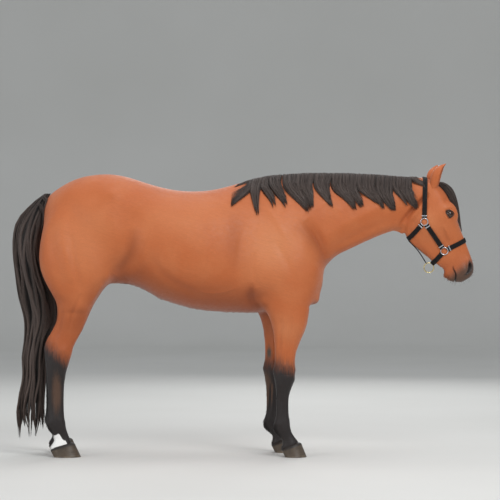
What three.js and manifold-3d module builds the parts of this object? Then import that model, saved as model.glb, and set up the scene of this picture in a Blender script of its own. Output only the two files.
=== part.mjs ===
// A life-size stock horse standing square, neck level and head low, wearing a webbing halter.
// Millimetres. +X is the way the horse faces, +Y its left side, +Z up, the soles stand at Z = 0.
//
// The body is one smooth form. Each limb of it is a row of rounded sections along an axis (a Limb),
// the limbs flow into each other by smooth_min, and muscles are soft swellings on top of that.
// The limbs are then meshed on the common surface, joined, and parted again by thin flat cuts.
import * as THREE from "three";
import { mergeVertices } from "three/addons/utils/BufferGeometryUtils.js";
import Module from "manifold-3d";

// ---------------------------------------------------------------- driving dimensions
const WITHERS_HEIGHT = 1520; // floor to the top of the withers
const TABLE_HEIGHT = 1520; // the height that the tables below are written for
const FINE = WITHERS_HEIGHT / TABLE_HEIGHT; // scales every table to the wanted height
const SEAM = 0.4; // clear gap between two neighbouring solids
const LEFT_FORE_BACK = 52; // the left forefoot stands this far behind the right one
const LEFT_HIND_BACK = 36; // and the left hind foot this far behind the right one

const RIGHT = -1;
const LEFT = 1;
const SIDES = { right: RIGHT, left: LEFT };

// ---------------------------------------------------------------- section tables
// Trunk, from the buttocks to the breast. At each X: top and bottom of the section in Z, half its
// width, the Z of its widest place, and how square its upper and lower halves are (2 is an ellipse).
const TRUNK = [
  // name, x, top, bottom, half, widest, upper, lower
  ["behind the tail", -1106, 1395, 1180, 42, 1300, 2.0, 2.0],
  ["tail head", -1084, 1440, 1110, 82, 1290, 2.0, 2.0],
  ["buttocks", -1030, 1478, 1050, 128, 1285, 2.0, 2.0],
  ["back of croup", -960, 1518, 1005, 168, 1285, 2.1, 2.0],
  ["croup", -890, 1544, 975, 202, 1285, 2.1, 2.0],
  ["top of croup", -815, 1557, 955, 225, 1290, 2.1, 2.0],
  ["hips", -732, 1559, 945, 242, 1300, 2.2, 2.0],
  ["loins", -643, 1541, 945, 252, 1270, 2.3, 2.0],
  ["flank", -555, 1511, 913, 266, 1210, 2.3, 2.0],
  ["last rib", -467, 1486, 862, 281, 1155, 2.2, 2.05],
  ["hind ribs", -378, 1468, 832, 291, 1120, 2.2, 2.1],
  ["barrel", -290, 1462, 808, 295, 1100, 2.15, 2.1],
  ["saddle", -201, 1466, 794, 293, 1090, 2.05, 2.1],
  ["ribs", -113, 1485, 788, 282, 1080, 1.9, 2.05],
  ["behind the elbow", -24, 1510, 784, 264, 1060, 1.75, 1.95],
  ["girth", 64, 1528, 782, 246, 1040, 1.65, 1.9],
  ["shoulder blades", 150, 1530, 788, 232, 1030, 1.7, 1.9],
  ["shoulders", 240, 1505, 798, 222, 1020, 1.8, 1.95],
  ["upper arms", 325, 1440, 818, 204, 1010, 1.9, 2.0],
  ["breast", 388, 1330, 852, 172, 1010, 2.0, 2.1],
  ["front of breast", 424, 1200, 905, 122, 1015, 2.0, 2.1],
  ["breastbone", 442, 1110, 965, 62, 1030, 2.0, 2.0],
];

// Neck, from inside the shoulders to inside the head, with the columns of TRUNK.
const NECK = [
  ["inside the shoulders", 70, 1500, 1060, 105, 1270, 1.8, 2.0],
  ["above the shoulders", 150, 1540, 1010, 128, 1250, 1.7, 2.0],
  ["neck root", 240, 1560, 990, 138, 1235, 1.6, 2.0],
  ["base", 330, 1567, 1005, 136, 1235, 1.55, 2.0],
  ["low neck", 418, 1569, 1046, 126, 1260, 1.5, 2.05],
  ["lower third", 507, 1566, 1090, 113, 1295, 1.5, 2.05],
  ["middle", 596, 1564, 1134, 102, 1325, 1.5, 2.05],
  ["upper third", 684, 1562, 1176, 93, 1352, 1.55, 2.05],
  ["high neck", 773, 1556, 1214, 86, 1375, 1.6, 2.05],
  ["throat", 843, 1549, 1236, 81, 1392, 1.7, 2.05],
  ["behind the jaw", 905, 1541, 1250, 78, 1405, 1.8, 2.0],
  ["nape", 960, 1532, 1262, 72, 1410, 1.9, 2.0],
  ["inside the poll", 1005, 1518, 1300, 60, 1420, 2.0, 2.0],
];

// Head, along the line from the poll to the nose. At each distance from the poll: the face and the
// jaw, measured square to that line (face is plus), half the width, the widest place, and squareness.
const POLL = [1024, 1526];
const HEAD_SLOPE = 61.7; // degrees that the face slopes below the horizontal
const HEAD = [
  // name, along, face, jaw, half, widest, upper, lower
  ["inside the nape", -34, -20, -120, 40, -70, 2.0, 2.0],
  ["behind the poll", -12, -2, -138, 58, -62, 2.1, 2.0],
  ["poll", 18, 14, -152, 68, -50, 2.2, 2.0],
  ["ears", 52, 34, -168, 76, -38, 2.2, 1.9],
  ["temples", 88, 47, -186, 85, -30, 2.2, 1.8],
  ["crown", 122, 51, -212, 93, -25, 2.3, 1.75],
  ["jowl", 155, 51, -238, 99, -22, 2.4, 1.7],
  ["brows", 188, 49, -256, 103, -20, 2.5, 1.65],
  ["eyes", 222, 45, -266, 101, -24, 2.6, 1.65],
  ["below the eyes", 258, 39, -268, 93, -36, 2.5, 1.7],
  ["cheeks", 296, 32, -258, 83, -48, 2.5, 1.75],
  ["facial crest", 336, 26, -240, 73, -56, 2.4, 1.85],
  ["nose bridge", 378, 22, -219, 63, -58, 2.3, 1.95],
  ["middle of nose", 418, 17, -197, 55, -58, 2.3, 2.05],
  ["bars", 454, 12, -176, 50, -60, 2.3, 2.1],
  ["chin groove", 486, 8, -162, 49, -64, 2.3, 2.1],
  ["chin", 514, 4, -169, 51, -70, 2.3, 2.1],
  ["nostrils", 540, -3, -172, 53, -74, 2.3, 2.1],
  ["muzzle", 562, -14, -154, 50, -78, 2.3, 2.1],
  ["lips", 580, -32, -124, 40, -80, 2.2, 2.0],
  ["nose end", 590, -52, -100, 24, -78, 2.0, 2.0],
];

// Legs, from the hoof up into the body. At each Z: front and back of the section in X, the outer and
// inner faces measured sideways from the middle of the horse, the widest X, and squareness.
const FORELEG = [
  // name, z, front, back, outer, inner, widest, front, back
  ["inside the hoof", 12, 322, 222, 172, 96, 268, 2.2, 2.2],
  ["heels", 34, 322, 204, 176, 92, 262, 2.2, 2.2],
  ["bulbs", 52, 319, 203, 176, 92, 260, 2.2, 2.2],
  ["coronet", 70, 313, 212, 171, 97, 262, 2.1, 2.0],
  ["pastern", 90, 301, 206, 165, 103, 252, 2.0, 2.0],
  ["long pastern", 112, 284, 192, 163, 105, 236, 2.0, 2.0],
  ["below the fetlock", 136, 268, 170, 167, 101, 222, 2.0, 1.9],
  ["ergot", 158, 261, 157, 171, 97, 214, 2.0, 1.8],
  ["fetlock", 182, 259, 160, 171, 97, 214, 2.1, 1.8],
  ["above the fetlock", 208, 255, 170, 165, 103, 216, 2.1, 1.8],
  ["low cannon", 240, 251, 175, 160, 108, 218, 2.1, 2.0],
  ["cannon", 290, 250, 177, 159, 109, 218, 2.1, 2.1],
  ["high cannon", 340, 254, 177, 162, 107, 219, 2.2, 2.2],
  ["below the knee", 378, 266, 173, 172, 100, 222, 2.4, 2.2],
  ["lower knee", 410, 280, 167, 180, 92, 226, 2.7, 2.1],
  ["knee", 448, 285, 162, 183, 88, 228, 2.8, 2.0],
  ["upper knee", 486, 285, 161, 181, 88, 230, 2.6, 2.0],
  ["above the knee", 524, 285, 166, 176, 92, 232, 2.2, 2.0],
  ["low forearm", 575, 293, 167, 179, 91, 234, 2.0, 2.0],
  ["forearm", 630, 314, 164, 188, 87, 238, 2.0, 2.0],
  ["full forearm", 685, 338, 158, 200, 82, 244, 2.0, 2.0],
  ["top of forearm", 735, 354, 146, 209, 76, 250, 2.1, 2.0],
  ["elbow", 785, 364, 124, 216, 68, 254, 2.1, 2.1],
  ["point of elbow", 840, 376, 108, 222, 58, 256, 2.1, 2.1],
  ["upper arm", 910, 396, 96, 228, 52, 256, 2.1, 2.0],
  ["arm", 990, 402, 78, 226, 50, 246, 2.0, 2.0],
  ["shoulder", 1080, 388, 72, 214, 50, 232, 2.0, 2.0],
  ["shoulder blade", 1180, 340, 70, 192, 50, 206, 2.0, 2.0],
  ["blade", 1290, 272, 64, 160, 44, 170, 2.0, 2.0],
  ["top of blade", 1390, 190, 60, 122, 38, 126, 2.0, 2.0],
];

const HIND_LEG = [
  ["inside the hoof", 12, -926, -1042, 172, 98, -984, 2.2, 2.2],
  ["heels", 34, -926, -1062, 176, 94, -990, 2.2, 2.2],
  ["bulbs", 52, -929, -1062, 176, 94, -992, 2.2, 2.2],
  ["coronet", 70, -934, -1053, 170, 99, -992, 2.1, 2.0],
  ["pastern", 92, -944, -1044, 163, 104, -996, 2.0, 2.0],
  ["long pastern", 116, -953, -1045, 161, 106, -1002, 2.0, 2.0],
  ["below the fetlock", 140, -962, -1060, 165, 102, -1012, 2.0, 1.9],
  ["ergot", 164, -970, -1080, 171, 97, -1022, 2.0, 1.8],
  ["fetlock", 190, -973, -1086, 172, 96, -1026, 2.1, 1.8],
  ["above the fetlock", 218, -978, -1080, 166, 102, -1026, 2.1, 1.8],
  ["low cannon", 254, -981, -1076, 160, 108, -1024, 2.1, 2.0],
  ["cannon", 316, -982, -1076, 159, 109, -1024, 2.1, 2.1],
  ["high cannon", 380, -980, -1078, 162, 106, -1024, 2.2, 2.2],
  ["below the hock", 432, -974, -1082, 170, 100, -1022, 2.3, 2.2],
  ["low hock", 476, -966, -1086, 178, 92, -1014, 2.3, 2.1],
  ["hock", 520, -952, -1090, 184, 87, -1006, 2.2, 2.0],
  ["upper hock", 562, -942, -1095, 186, 85, -998, 2.1, 2.0],
  ["point of hock", 604, -928, -1098, 182, 88, -990, 2.0, 2.2],
  ["above the hock", 642, -908, -1084, 178, 92, -976, 2.0, 2.2],
  ["low gaskin", 690, -880, -1056, 183, 90, -956, 2.0, 2.1],
  ["gaskin", 745, -856, -1034, 200, 78, -936, 2.0, 2.0],
  ["full gaskin", 800, -834, -1022, 220, 60, -916, 2.0, 2.0],
  ["top of gaskin", 850, -808, -1030, 238, 42, -904, 2.0, 2.0],
  ["low thigh", 905, -772, -1058, 256, 26, -896, 2.1, 2.6],
  ["stifle", 960, -728, -1090, 268, 14, -892, 2.1, 2.6],
  ["thigh", 1025, -700, -1118, 275, 8, -890, 2.1, 2.6],
  ["middle of thigh", 1100, -676, -1132, 276, 6, -888, 2.1, 2.6],
  ["upper thigh", 1175, -660, -1134, 272, 6, -884, 2.1, 2.6],
  ["point of buttock", 1250, -648, -1128, 262, 8, -880, 2.1, 2.6],
  ["haunch", 1325, -650, -1108, 242, 14, -872, 2.0, 2.6],
  ["rump", 1400, -670, -1062, 210, 24, -862, 2.0, 2.6],
  ["top of haunch", 1462, -715, -990, 160, 40, -848, 2.0, 2.0],
  ["under the croup", 1500, -770, -910, 110, 50, -840, 2.0, 2.0],
];

// How softly each limb flows into the rest of the body.
const FLOW = { neck: 70, head: 34, foreleg: 46, hind_leg: 60, crotch: 16 };

// Muscles, bones and hollows: [name, x, sideways, z, reach along, sideways, up, turn, raise]. Each
// is a soft swelling (or, raised by less than nothing, a hollow) on both sides of the horse. The
// turn is in degrees, and tips the swelling's front up.
const MUSCLES = [
  ["shoulder blade", 225, 175, 1235, 85, 90, 210, -34, 13],
  ["triceps", 175, 215, 985, 120, 70, 95, 20, 15],
  ["point of shoulder", 372, 160, 1015, 62, 70, 74, 0, 14],
  ["hollow before the shoulder", 392, 120, 1200, 55, 60, 110, -30, -13],
  ["hollow behind the shoulder", 40, 240, 1130, 60, 70, 160, -8, -9],
  ["breast muscle", 425, 72, 950, 60, 55, 75, 0, 15],
  ["breast groove", 455, 0, 960, 60, 20, 110, 0, -16],
  ["elbow", 118, 190, 842, 34, 50, 40, 0, 12],
  ["withers", 20, 0, 1535, 120, 26, 26, 4, 6],
  ["loin", -520, 110, 1500, 130, 60, 40, 6, 5],
  ["croup groove", -860, 0, 1560, 170, 22, 30, 0, -8],
  ["croup muscle", -830, 135, 1525, 150, 80, 60, 0, 9],
  ["point of hip", -700, 232, 1432, 44, 50, 36, 20, 12],
  ["flank hollow", -598, 262, 1330, 75, 60, 75, 0, -16],
  ["flank fold", -655, 225, 1010, 60, 60, 60, 35, -10],
  ["stifle", -770, 245, 985, 44, 60, 58, 20, 13],
  ["thigh muscle", -985, 250, 1170, 70, 80, 190, -4, 12],
  ["thigh groove", -905, 272, 1140, 26, 60, 150, -6, -8],
  ["haunch muscle", -800, 262, 1230, 80, 60, 120, 0, 8],
  ["gaskin muscle", -905, 215, 800, 60, 40, 80, 40, 8],
  ["gaskin hollow", -1012, 150, 700, 22, 50, 90, 22, -9],
  ["forearm muscle", 318, 190, 715, 42, 40, 100, 0, 8],
  ["throat hollow", 905, 70, 1300, 40, 50, 55, 0, -10],
  ["jugular groove", 620, 96, 1235, 220, 40, 30, 24, -9],
  ["crest", 560, 0, 1570, 330, 16, 20, 0, 4],
];

// The same in the head's own frame: [name, along, sideways, up, reach along, sideways, up, raise].
const HEAD_MUSCLES = [
  ["eye socket", 208, 94, 10, 38, 30, 26, 9],
  ["brow", 196, 70, 34, 34, 26, 18, 6],
  ["hollow above the eye", 158, 66, 24, 24, 22, 18, -8],
  ["temple", 110, 80, -4, 36, 30, 34, 4],
  ["cheek", 205, 84, -150, 78, 40, 84, 9],
  ["facial crest", 300, 84, -42, 56, 22, 11, 6],
  ["hollow under the crest", 350, 66, -100, 60, 24, 36, -7],
  ["side of nose", 410, 50, -28, 60, 20, 20, -5],
  ["nostril", 548, 52, -52, 24, 22, 30, 9],
  ["above the nostril", 508, 44, -22, 26, 18, 18, -4],
  ["upper lip", 575, 0, -60, 24, 50, 30, 5],
  ["chin", 512, 0, -158, 20, 34, 18, 8],
  ["between the jaws", 330, 0, -262, 110, 18, 60, -18],
];

// Hoof: how the wall runs from the sole up to the coronet, as seen from the side, half its width at
// both, and how far its middle is from the middle of the horse.
const HOOVES = {
  fore: { toe: 347, heel: 226, half: 58, topFront: 317, topBack: 208, topHalf: 45, middle: 134 },
  hind: { toe: -890, heel: -1040, half: 56, topFront: -925, topBack: -1058, topHalf: 44, middle: 135 },
};
const CORONET_FRONT = 74; // height of the coronet above the toe
const CORONET_BACK = 36; // and above the heels
const HOOF_RINGS = 3;
const HOOF_SIDES = 16;

// An ear is a leaf rolled into a cup. Its mouth opens that way, it curls round by so many degrees to
// each side at the base and at the tip, and its middle leans back. The left one is laid further back.
const EAR = {
  base: [1046, 62, 1478],
  tips: { right: [1110, 76, 1614], left: [1078, 74, 1612] },
  opens: [0.98, 0.2, 0],
  half: 31,
  wall: 5,
  curl: [146, 96],
  lean: 10,
  rings: 6,
  sides: 6,
};
// Eyes, in the head's own frame
const EYE = { along: 222, sideways: 86, up: 4, radius: 22.5 };

// Mane, forelock and tail
const MANE_THICK = 13;
const MANE_FADES = [90, 60]; // it thins out over these lengths at the withers and at the poll
const MANE_LEFT = -10; // degrees past the crest where the mane starts, on the left side
const MANE_ROWS = 5;
const HAIR_CLEAR = 5.5; // mane and forelock lie this far over the skin
const MANE_TOP = 5; // how high the hair stands over the crest
const NECK_STARTS = 120; // behind this the mane lies on the trunk
// The lower edge of the mane: [x, z] of the tips of its locks and of the gaps between them
const MANE_EDGE = [
  [-30, 1478], [5, 1450], [30, 1395], [58, 1318], [100, 1400], [148, 1344], [178, 1390], [213, 1352],
  [262, 1440], [328, 1320], [346, 1345], [398, 1440], [463, 1348], [522, 1425], [592, 1336],
  [633, 1356], [668, 1415], [714, 1374], [752, 1350], [776, 1385], [807, 1334], [848, 1425],
  [880, 1375], [905, 1405], [939, 1350], [982, 1440],
];
const FORELOCK = { start: 34, end: 352, half: 36, thick: 6, arch: 46, rows: 10, columns: 5 };
const TAIL_SIDES = 12;
const TAIL_STEP = 120;
// Tail: at each Z its back and front in X, and half its width
const TAIL = [
  ["dock", 1456, -1092, -1050, 24, -1072, 2, 2],
  ["root", 1442, -1124, -1056, 36, -1092, 2, 2],
  ["over the dock", 1418, -1164, -1066, 46, -1116, 2, 2],
  ["bend", 1380, -1206, -1078, 54, -1146, 2, 2],
  ["top of skirt", 1310, -1255, -1096, 62, -1178, 2, 2],
  ["skirt", 1220, -1278, -1118, 72, -1198, 2, 2],
  ["upper tail", 1115, -1279, -1120, 80, -1200, 2, 2],
  ["full tail", 1000, -1266, -1096, 85, -1180, 2, 2],
  ["middle", 880, -1250, -1060, 86, -1158, 2, 2],
  ["between the hocks", 750, -1218, -1056, 82, -1140, 2, 2],
  ["hock", 640, -1216, -1082, 78, -1150, 2, 2],
  ["below the hock", 540, -1229, -1092, 76, -1162, 2, 2],
  ["lower tail", 430, -1226, -1094, 74, -1162, 2, 2],
  ["cannon", 320, -1252, -1098, 72, -1176, 2, 2],
  ["thinning", 230, -1270, -1092, 64, -1184, 2, 2],
  ["fetlock", 160, -1268, -1094, 50, -1184, 2, 2],
  ["tips", 112, -1256, -1124, 30, -1196, 2, 2],
  ["last hairs", 90, -1246, -1200, 8, -1224, 2, 2],
];

// Halter: where its rings lie in the head's frame, [x, z]
const UPPER_RING = [996, 1289];
const LOWER_RING = [1109, 1129];
const CROWN = [1004, 1545];
const BRIDGE = [1229, 1193];
const THROAT = [903, 1177];
const LEAD_RING = [1028, 1036];
const STRAP_WIDTH = 26;
const STRAP_THICK = 3;
const STRAP_LIFT = 3.2; // from the skin to the underside of a strap
const STRAP_STEP = 32;
const JAW_STRAP_STEP = 51;
const JAW_STRAP_SAG = [-6, -8]; // how far its middle hangs from the straight line, [x, z]
const RING_RADIUS = 20; // to the middle of the wire
const RING_WIRE = 3; // radius of the wire
const RING_LIFT = 4.5; // from the skin to the middle of the wire
const LEAD_RING_RADIUS = 27;

// Where the body is parted: [x, z] of two points on each flat cut across it
const CUTS = {
  neckRoot: [[150, 1575], [447, 1058]],
  nape: [[985, 1536], [890, 1240]],
  hindTop: [[-740, 925], [-1130, 985]],
};
const FORE_TOP = 765; // heights at which the legs are parted
const KNEE = 398;
const HOCK = 474;
const WAIST = -600; // an X between the forelegs and the hind legs
const LEGS_APART = 5; // a leg stays this far from the middle of the horse

// How each limb is meshed: the longest step along it, the points round a section, how far its skin
// may stand out over its own section, and the height above which it sinks into the trunk.
const MESHING = {
  trunk: { step: 95, sides: 24, limit: 34 },
  neck: { step: 95, sides: 20, limit: 60 },
  head: { step: 45, sides: 22, limit: 40 },
  foreleg: { step: 75, sides: 12, limit: 26, sinksAbove: 900 },
  hindLeg: { step: 85, sides: 16, limit: 30, sinksAbove: 1060 },
};
const SINKING = 0.12; // how steeply it sinks, so that the two surfaces cross only once

// ---------------------------------------------------------------- colours
const COAT = { color: 0xb4683f, roughness: 0.62, metalness: 0 };
const POINTS = { color: 0x4a3a32, roughness: 0.65, metalness: 0 };
const HAIR = { color: 0x3c2f29, roughness: 0.6, metalness: 0 };
const HORN = { color: 0x63574a, roughness: 0.5, metalness: 0 };
const EYEBALL = { color: 0x1e140c, roughness: 0.08, metalness: 0 };
const WEBBING = { color: 0x161617, roughness: 0.75, metalness: 0 };
const STEEL = { color: 0xc4c4c6, roughness: 0.28, metalness: 1 };
const BRASS = { color: 0xd9c68e, roughness: 0.3, metalness: 1 };

const wasm = await Module();
wasm.setup();

// ---------------------------------------------------------------- small maths
const DEGREE = Math.PI / 180;
const vec = (x, y, z) => new THREE.Vector3(x, y, z);
const clamp = THREE.MathUtils.clamp;
const lerp = THREE.MathUtils.lerp;

// A smooth curve through rows of numbers, whose first number rises from row to row.
function curveThrough(rows) {
  const width = rows[0].length - 1;
  const at = Float64Array.from(rows, (row) => row[0]);
  const values = Float64Array.from(rows.flatMap((row) => row.slice(1)));
  const curve = new THREE.CubicInterpolant(at, values, width, new Float64Array(width));
  const first = at[0];
  const last = at[at.length - 1];
  return (s) => curve.evaluate(clamp(s, first, last));
}

// The lower of two distances, rounded off where they are within k of each other.
function smoothMin(a, b, k) {
  const h = Math.max(k - Math.abs(a - b), 0) / k;
  return Math.min(a, b) - (h * h * k) / 4;
}

// ---------------------------------------------------------------- limbs
// A limb is a row of rounded sections along an axis. Its frame has three directions: along the
// axis, up (from the low side of a section to its high side), and sideways.
class Limb {
  constructor(rows, { origin, along, up, aside }) {
    this.origin = origin;
    this.along = along;
    this.up = up;
    this.aside = aside;
    this.stations = rows.map((row) => row[1]);
    this.first = this.stations[0];
    this.last = this.stations[this.stations.length - 1];
    this.curve = curveThrough(rows.map((row) => row.slice(1)));
  }

  // Section at s: its top, bottom, half width, widest height, squareness, and middle sideways
  section(s) {
    const [high, low, half, widest, upper, lower, middle = 0] = this.curve(s);
    return { high, low, half, widest, upper, lower, middle };
  }

  point(s, up, aside) {
    return this.origin
      .clone()
      .addScaledVector(this.along, s)
      .addScaledVector(this.up, up)
      .addScaledVector(this.aside, aside);
  }

  // How far a section reaches from its middle, towards (up, aside), which has length 1
  reach(section, up, aside) {
    const height = up >= 0 ? section.high - section.widest : section.widest - section.low;
    const power = up >= 0 ? section.upper : section.lower;
    const sum = (Math.abs(up) / height) ** power + (Math.abs(aside) / section.half) ** power;
    return sum ** (-1 / power);
  }

  // Distance to the limb's surface, less than nothing inside it
  distance(p) {
    const d = p.clone().sub(this.origin);
    const s = d.dot(this.along);
    const section = this.section(s);
    const up = d.dot(this.up) - section.widest;
    const aside = d.dot(this.aside) - section.middle;
    const length = Math.hypot(up, aside) || 1e-9;
    const beyond = Math.max(this.first - s, s - this.last, 0);
    const across = length - this.reach(section, up / length, aside / length);
    return beyond > 0 ? Math.hypot(Math.max(across, 0), beyond) : across;
  }
}

const upright = { origin: vec(0, 0, 0), along: vec(1, 0, 0), up: vec(0, 0, 1), aside: vec(0, 1, 0) };
const trunk = new Limb(TRUNK, upright);
const neck = new Limb(NECK, upright);

const slope = HEAD_SLOPE * DEGREE;
const head = new Limb(HEAD, {
  origin: vec(POLL[0], 0, POLL[1]),
  along: vec(Math.cos(slope), 0, -Math.sin(slope)),
  up: vec(Math.sin(slope), 0, Math.cos(slope)),
  aside: vec(0, 1, 0),
});

// A leg's section is written by its front, back, outer and inner faces.
function legRow([name, z, front, back, outer, inner, widest, fore, hind]) {
  return [name, z, front, back, (outer - inner) / 2, widest, fore, hind, (outer + inner) / 2];
}

function leg(rows, side, back) {
  return new Limb(rows.map(legRow), {
    origin: vec(-back, 0, 0),
    along: vec(0, 0, 1),
    up: vec(1, 0, 0),
    aside: vec(0, side, 0),
  });
}

const forelegs = { right: leg(FORELEG, RIGHT, 0), left: leg(FORELEG, LEFT, LEFT_FORE_BACK) };
const hindLegs = { right: leg(HIND_LEG, RIGHT, 0), left: leg(HIND_LEG, LEFT, LEFT_HIND_BACK) };

// ---------------------------------------------------------------- the body's surface
// A swelling is a soft bump: its middle, three directions with a reach in each, and its height.
function swelling(middle, directions, reaches, raise) {
  const widest = Math.max(...reaches) * 2.6;
  return (p) => {
    const d = p.clone().sub(middle);
    if (d.lengthSq() > widest * widest) {
      return 0;
    }
    const squares = directions.map((direction, i) => (d.dot(direction) / reaches[i]) ** 2);
    return raise * Math.exp(-squares[0] - squares[1] - squares[2]);
  };
}

function bodySwelling([, x, y, z, along, aside, up, turn, raise], side) {
  const angle = turn * DEGREE;
  const directions = [
    vec(Math.cos(angle), 0, Math.sin(angle)),
    vec(0, 1, 0),
    vec(-Math.sin(angle), 0, Math.cos(angle)),
  ];
  return swelling(vec(x, y * side, z), directions, [along, aside, up], raise);
}

function headSwelling([, along, y, up, reachAlong, reachAside, reachUp, raise], side) {
  const directions = [head.along, head.aside, head.up];
  const reaches = [reachAlong, reachAside, reachUp];
  return swelling(head.point(along, up, y * side), directions, reaches, raise);
}

// What lies on the middle line is made once, and the rest on both sides.
function bothSides(rows, make) {
  return rows.flatMap((row) => (row[2] === 0 ? [make(row, 1)] : [make(row, RIGHT), make(row, LEFT)]));
}

const swellings = [
  ...bothSides(MUSCLES, bodySwelling),
  ...bothSides(HEAD_MUSCLES, headSwelling),
];

// Distance to the skin of the whole body, less than nothing inside it
function body(p) {
  const fore = Math.min(forelegs.right.distance(p), forelegs.left.distance(p));
  const hind = smoothMin(hindLegs.right.distance(p), hindLegs.left.distance(p), FLOW.crotch);
  let distance = smoothMin(trunk.distance(p), neck.distance(p), FLOW.neck);
  distance = smoothMin(distance, head.distance(p), FLOW.head);
  distance = smoothMin(distance, fore, FLOW.foreleg);
  distance = smoothMin(distance, hind, FLOW.hind_leg);
  return distance - swellings.reduce((sum, swell) => sum + swell(p), 0);
}

// Goes from a start along a direction to where the body's distance is `level`, moving no further
// out than `limit` from the first guess.
function settle(start, direction, guess, level, limit) {
  let length = guess;
  for (let step = 0; step < 10; step += 1) {
    const point = start.clone().addScaledVector(direction, length);
    length = clamp(length - 0.8 * (body(point) - level), 1, guess + limit);
  }
  return start.clone().addScaledVector(direction, length);
}

// Point on the skin (raised by `level`) of a limb's section at s. The angle is measured from the
// section's high side: 90 is the left side, 180 the low side.
function skinPoint(limb, s, angle, level = 0, limit = 60) {
  const section = limb.section(s);
  const up = Math.cos(angle * DEGREE);
  const aside = Math.sin(angle * DEGREE);
  const direction = limb.up.clone().multiplyScalar(up).addScaledVector(limb.aside, aside);
  const start = limb.point(s, section.widest, section.middle);
  return settle(start, direction, limb.reach(section, up, aside), level, limit);
}

function skinNormal(p) {
  const step = 2;
  const slopeAlong = (axis) => {
    const ahead = body(p.clone().addScaledVector(axis, step));
    return ahead - body(p.clone().addScaledVector(axis, -step));
  };
  return vec(slopeAlong(vec(1, 0, 0)), slopeAlong(vec(0, 1, 0)), slopeAlong(vec(0, 0, 1))).normalize();
}

// ---------------------------------------------------------------- closed meshes
// A closed mesh from rings of points, all of the same length. The ends are closed by fans round
// their middle points.
function skinOfRings(rings) {
  const sides = rings[0].length;
  const positions = rings.flat().flatMap((p) => [p.x, p.y, p.z]);
  const faces = [];
  for (let ring = 0; ring + 1 < rings.length; ring += 1) {
    for (let side = 0; side < sides; side += 1) {
      const next = (side + 1) % sides;
      const a = ring * sides + side;
      const b = ring * sides + next;
      faces.push(a, b, b + sides, a, b + sides, a + sides);
    }
  }
  const addCap = (ring, flip) => {
    const middle = rings[ring].reduce((sum, p) => sum.add(p), vec(0, 0, 0)).divideScalar(sides);
    const hub = positions.length / 3;
    positions.push(middle.x, middle.y, middle.z);
    for (let side = 0; side < sides; side += 1) {
      const a = ring * sides + side;
      const b = ring * sides + ((side + 1) % sides);
      faces.push(hub, ...(flip ? [b, a] : [a, b]));
    }
  };
  addCap(0, true);
  addCap(rings.length - 1, false);
  return closedGeometry(positions, faces);
}

function closedGeometry(positions, faces) {
  const geometry = new THREE.BufferGeometry();
  geometry.setAttribute("position", new THREE.Float32BufferAttribute(positions, 3));
  geometry.setIndex(faces);
  return geometry;
}

function signedVolume(geometry) {
  const position = geometry.getAttribute("position");
  const index = geometry.getIndex().array;
  const corner = (i) => new THREE.Vector3().fromBufferAttribute(position, index[i]);
  let sum = 0;
  for (let face = 0; face < index.length; face += 3) {
    sum += corner(face).dot(corner(face + 1).cross(corner(face + 2))) / 6;
  }
  return sum;
}

// Turns a closed geometry into a solid for cutting and joining, with its faces pointing out.
function solid(geometry) {
  const bare = geometry.clone();
  bare.deleteAttribute("normal");
  bare.deleteAttribute("uv");
  const merged = mergeVertices(bare, 1e-4);
  const triVerts = Uint32Array.from(merged.getIndex().array);
  if (signedVolume(merged) < 0) {
    for (let face = 0; face < triVerts.length; face += 3) {
      [triVerts[face], triVerts[face + 1]] = [triVerts[face + 1], triVerts[face]];
    }
  }
  const vertProperties = Float32Array.from(merged.getAttribute("position").array);
  return new wasm.Manifold(new wasm.Mesh({ numProp: 3, vertProperties, triVerts }));
}

// The solid of a limb's skin, `raised` by so much all over
function limbSolid(limb, { step, sides, limit, sinksAbove = Infinity }, raised) {
  const rings = stationsOf(limb, step).map((s) => {
    const level = raised - SINKING * Math.max(0, s - sinksAbove);
    return around(sides).map((angle) => skinPoint(limb, s, angle, level, limit));
  });
  return solid(skinOfRings(rings));
}

// Evenly spread numbers, with both ends
function spread(from, to, count) {
  return Array.from({ length: count }, (_, i) => lerp(from, to, i / (count - 1)));
}

// Angles round a section
function around(count) {
  return Array.from({ length: count }, (_, i) => (i / count) * 360);
}

// Stations of a limb, with extra ones so that none are further apart than `step`
function stationsOf(limb, step) {
  return limb.stations.flatMap((s, i) => {
    const next = limb.stations[i + 1];
    if (next === undefined) {
      return [s];
    }
    const parts = Math.ceil(Math.abs(next - s) / step);
    return spread(s, next, parts + 1).slice(0, -1);
  });
}

// ---------------------------------------------------------------- flat cuts
const HUGE = 4000;

// A block that fills one side of a plane standing across the horse. The plane goes through two
// [x, z] points, moved by `shift` to the side that its normal (turned right from the line) shows.
function sideOf([[x0, z0], [x1, z1]], shift, keepAhead) {
  const line = new THREE.Vector2(x1 - x0, z1 - z0).normalize();
  const normal = new THREE.Vector2(-line.y, line.x);
  const direction = keepAhead ? 1 : -1;
  const reach = direction * (HUGE / 2) + shift;
  const geometry = new THREE.BoxGeometry(HUGE, HUGE, HUGE);
  geometry.rotateY(-Math.atan2(normal.y, normal.x));
  geometry.translate(x0 + normal.x * reach, 0, z0 + normal.y * reach);
  return solid(geometry);
}

function block([x0, y0, z0], [x1, y1, z1]) {
  const geometry = new THREE.BoxGeometry(x1 - x0, y1 - y0, z1 - z0);
  geometry.translate((x0 + x1) / 2, (y0 + y1) / 2, (z0 + z1) / 2);
  return solid(geometry);
}

const levelCut = (z) => [[0, z], [-1, z]];

// ---------------------------------------------------------------- flesh
const GAP = SEAM / 2;
const FAR = HUGE / 2;
const RAISED = SEAM + 0.2; // what lies on the body is cut by flesh that is raised this far

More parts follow.
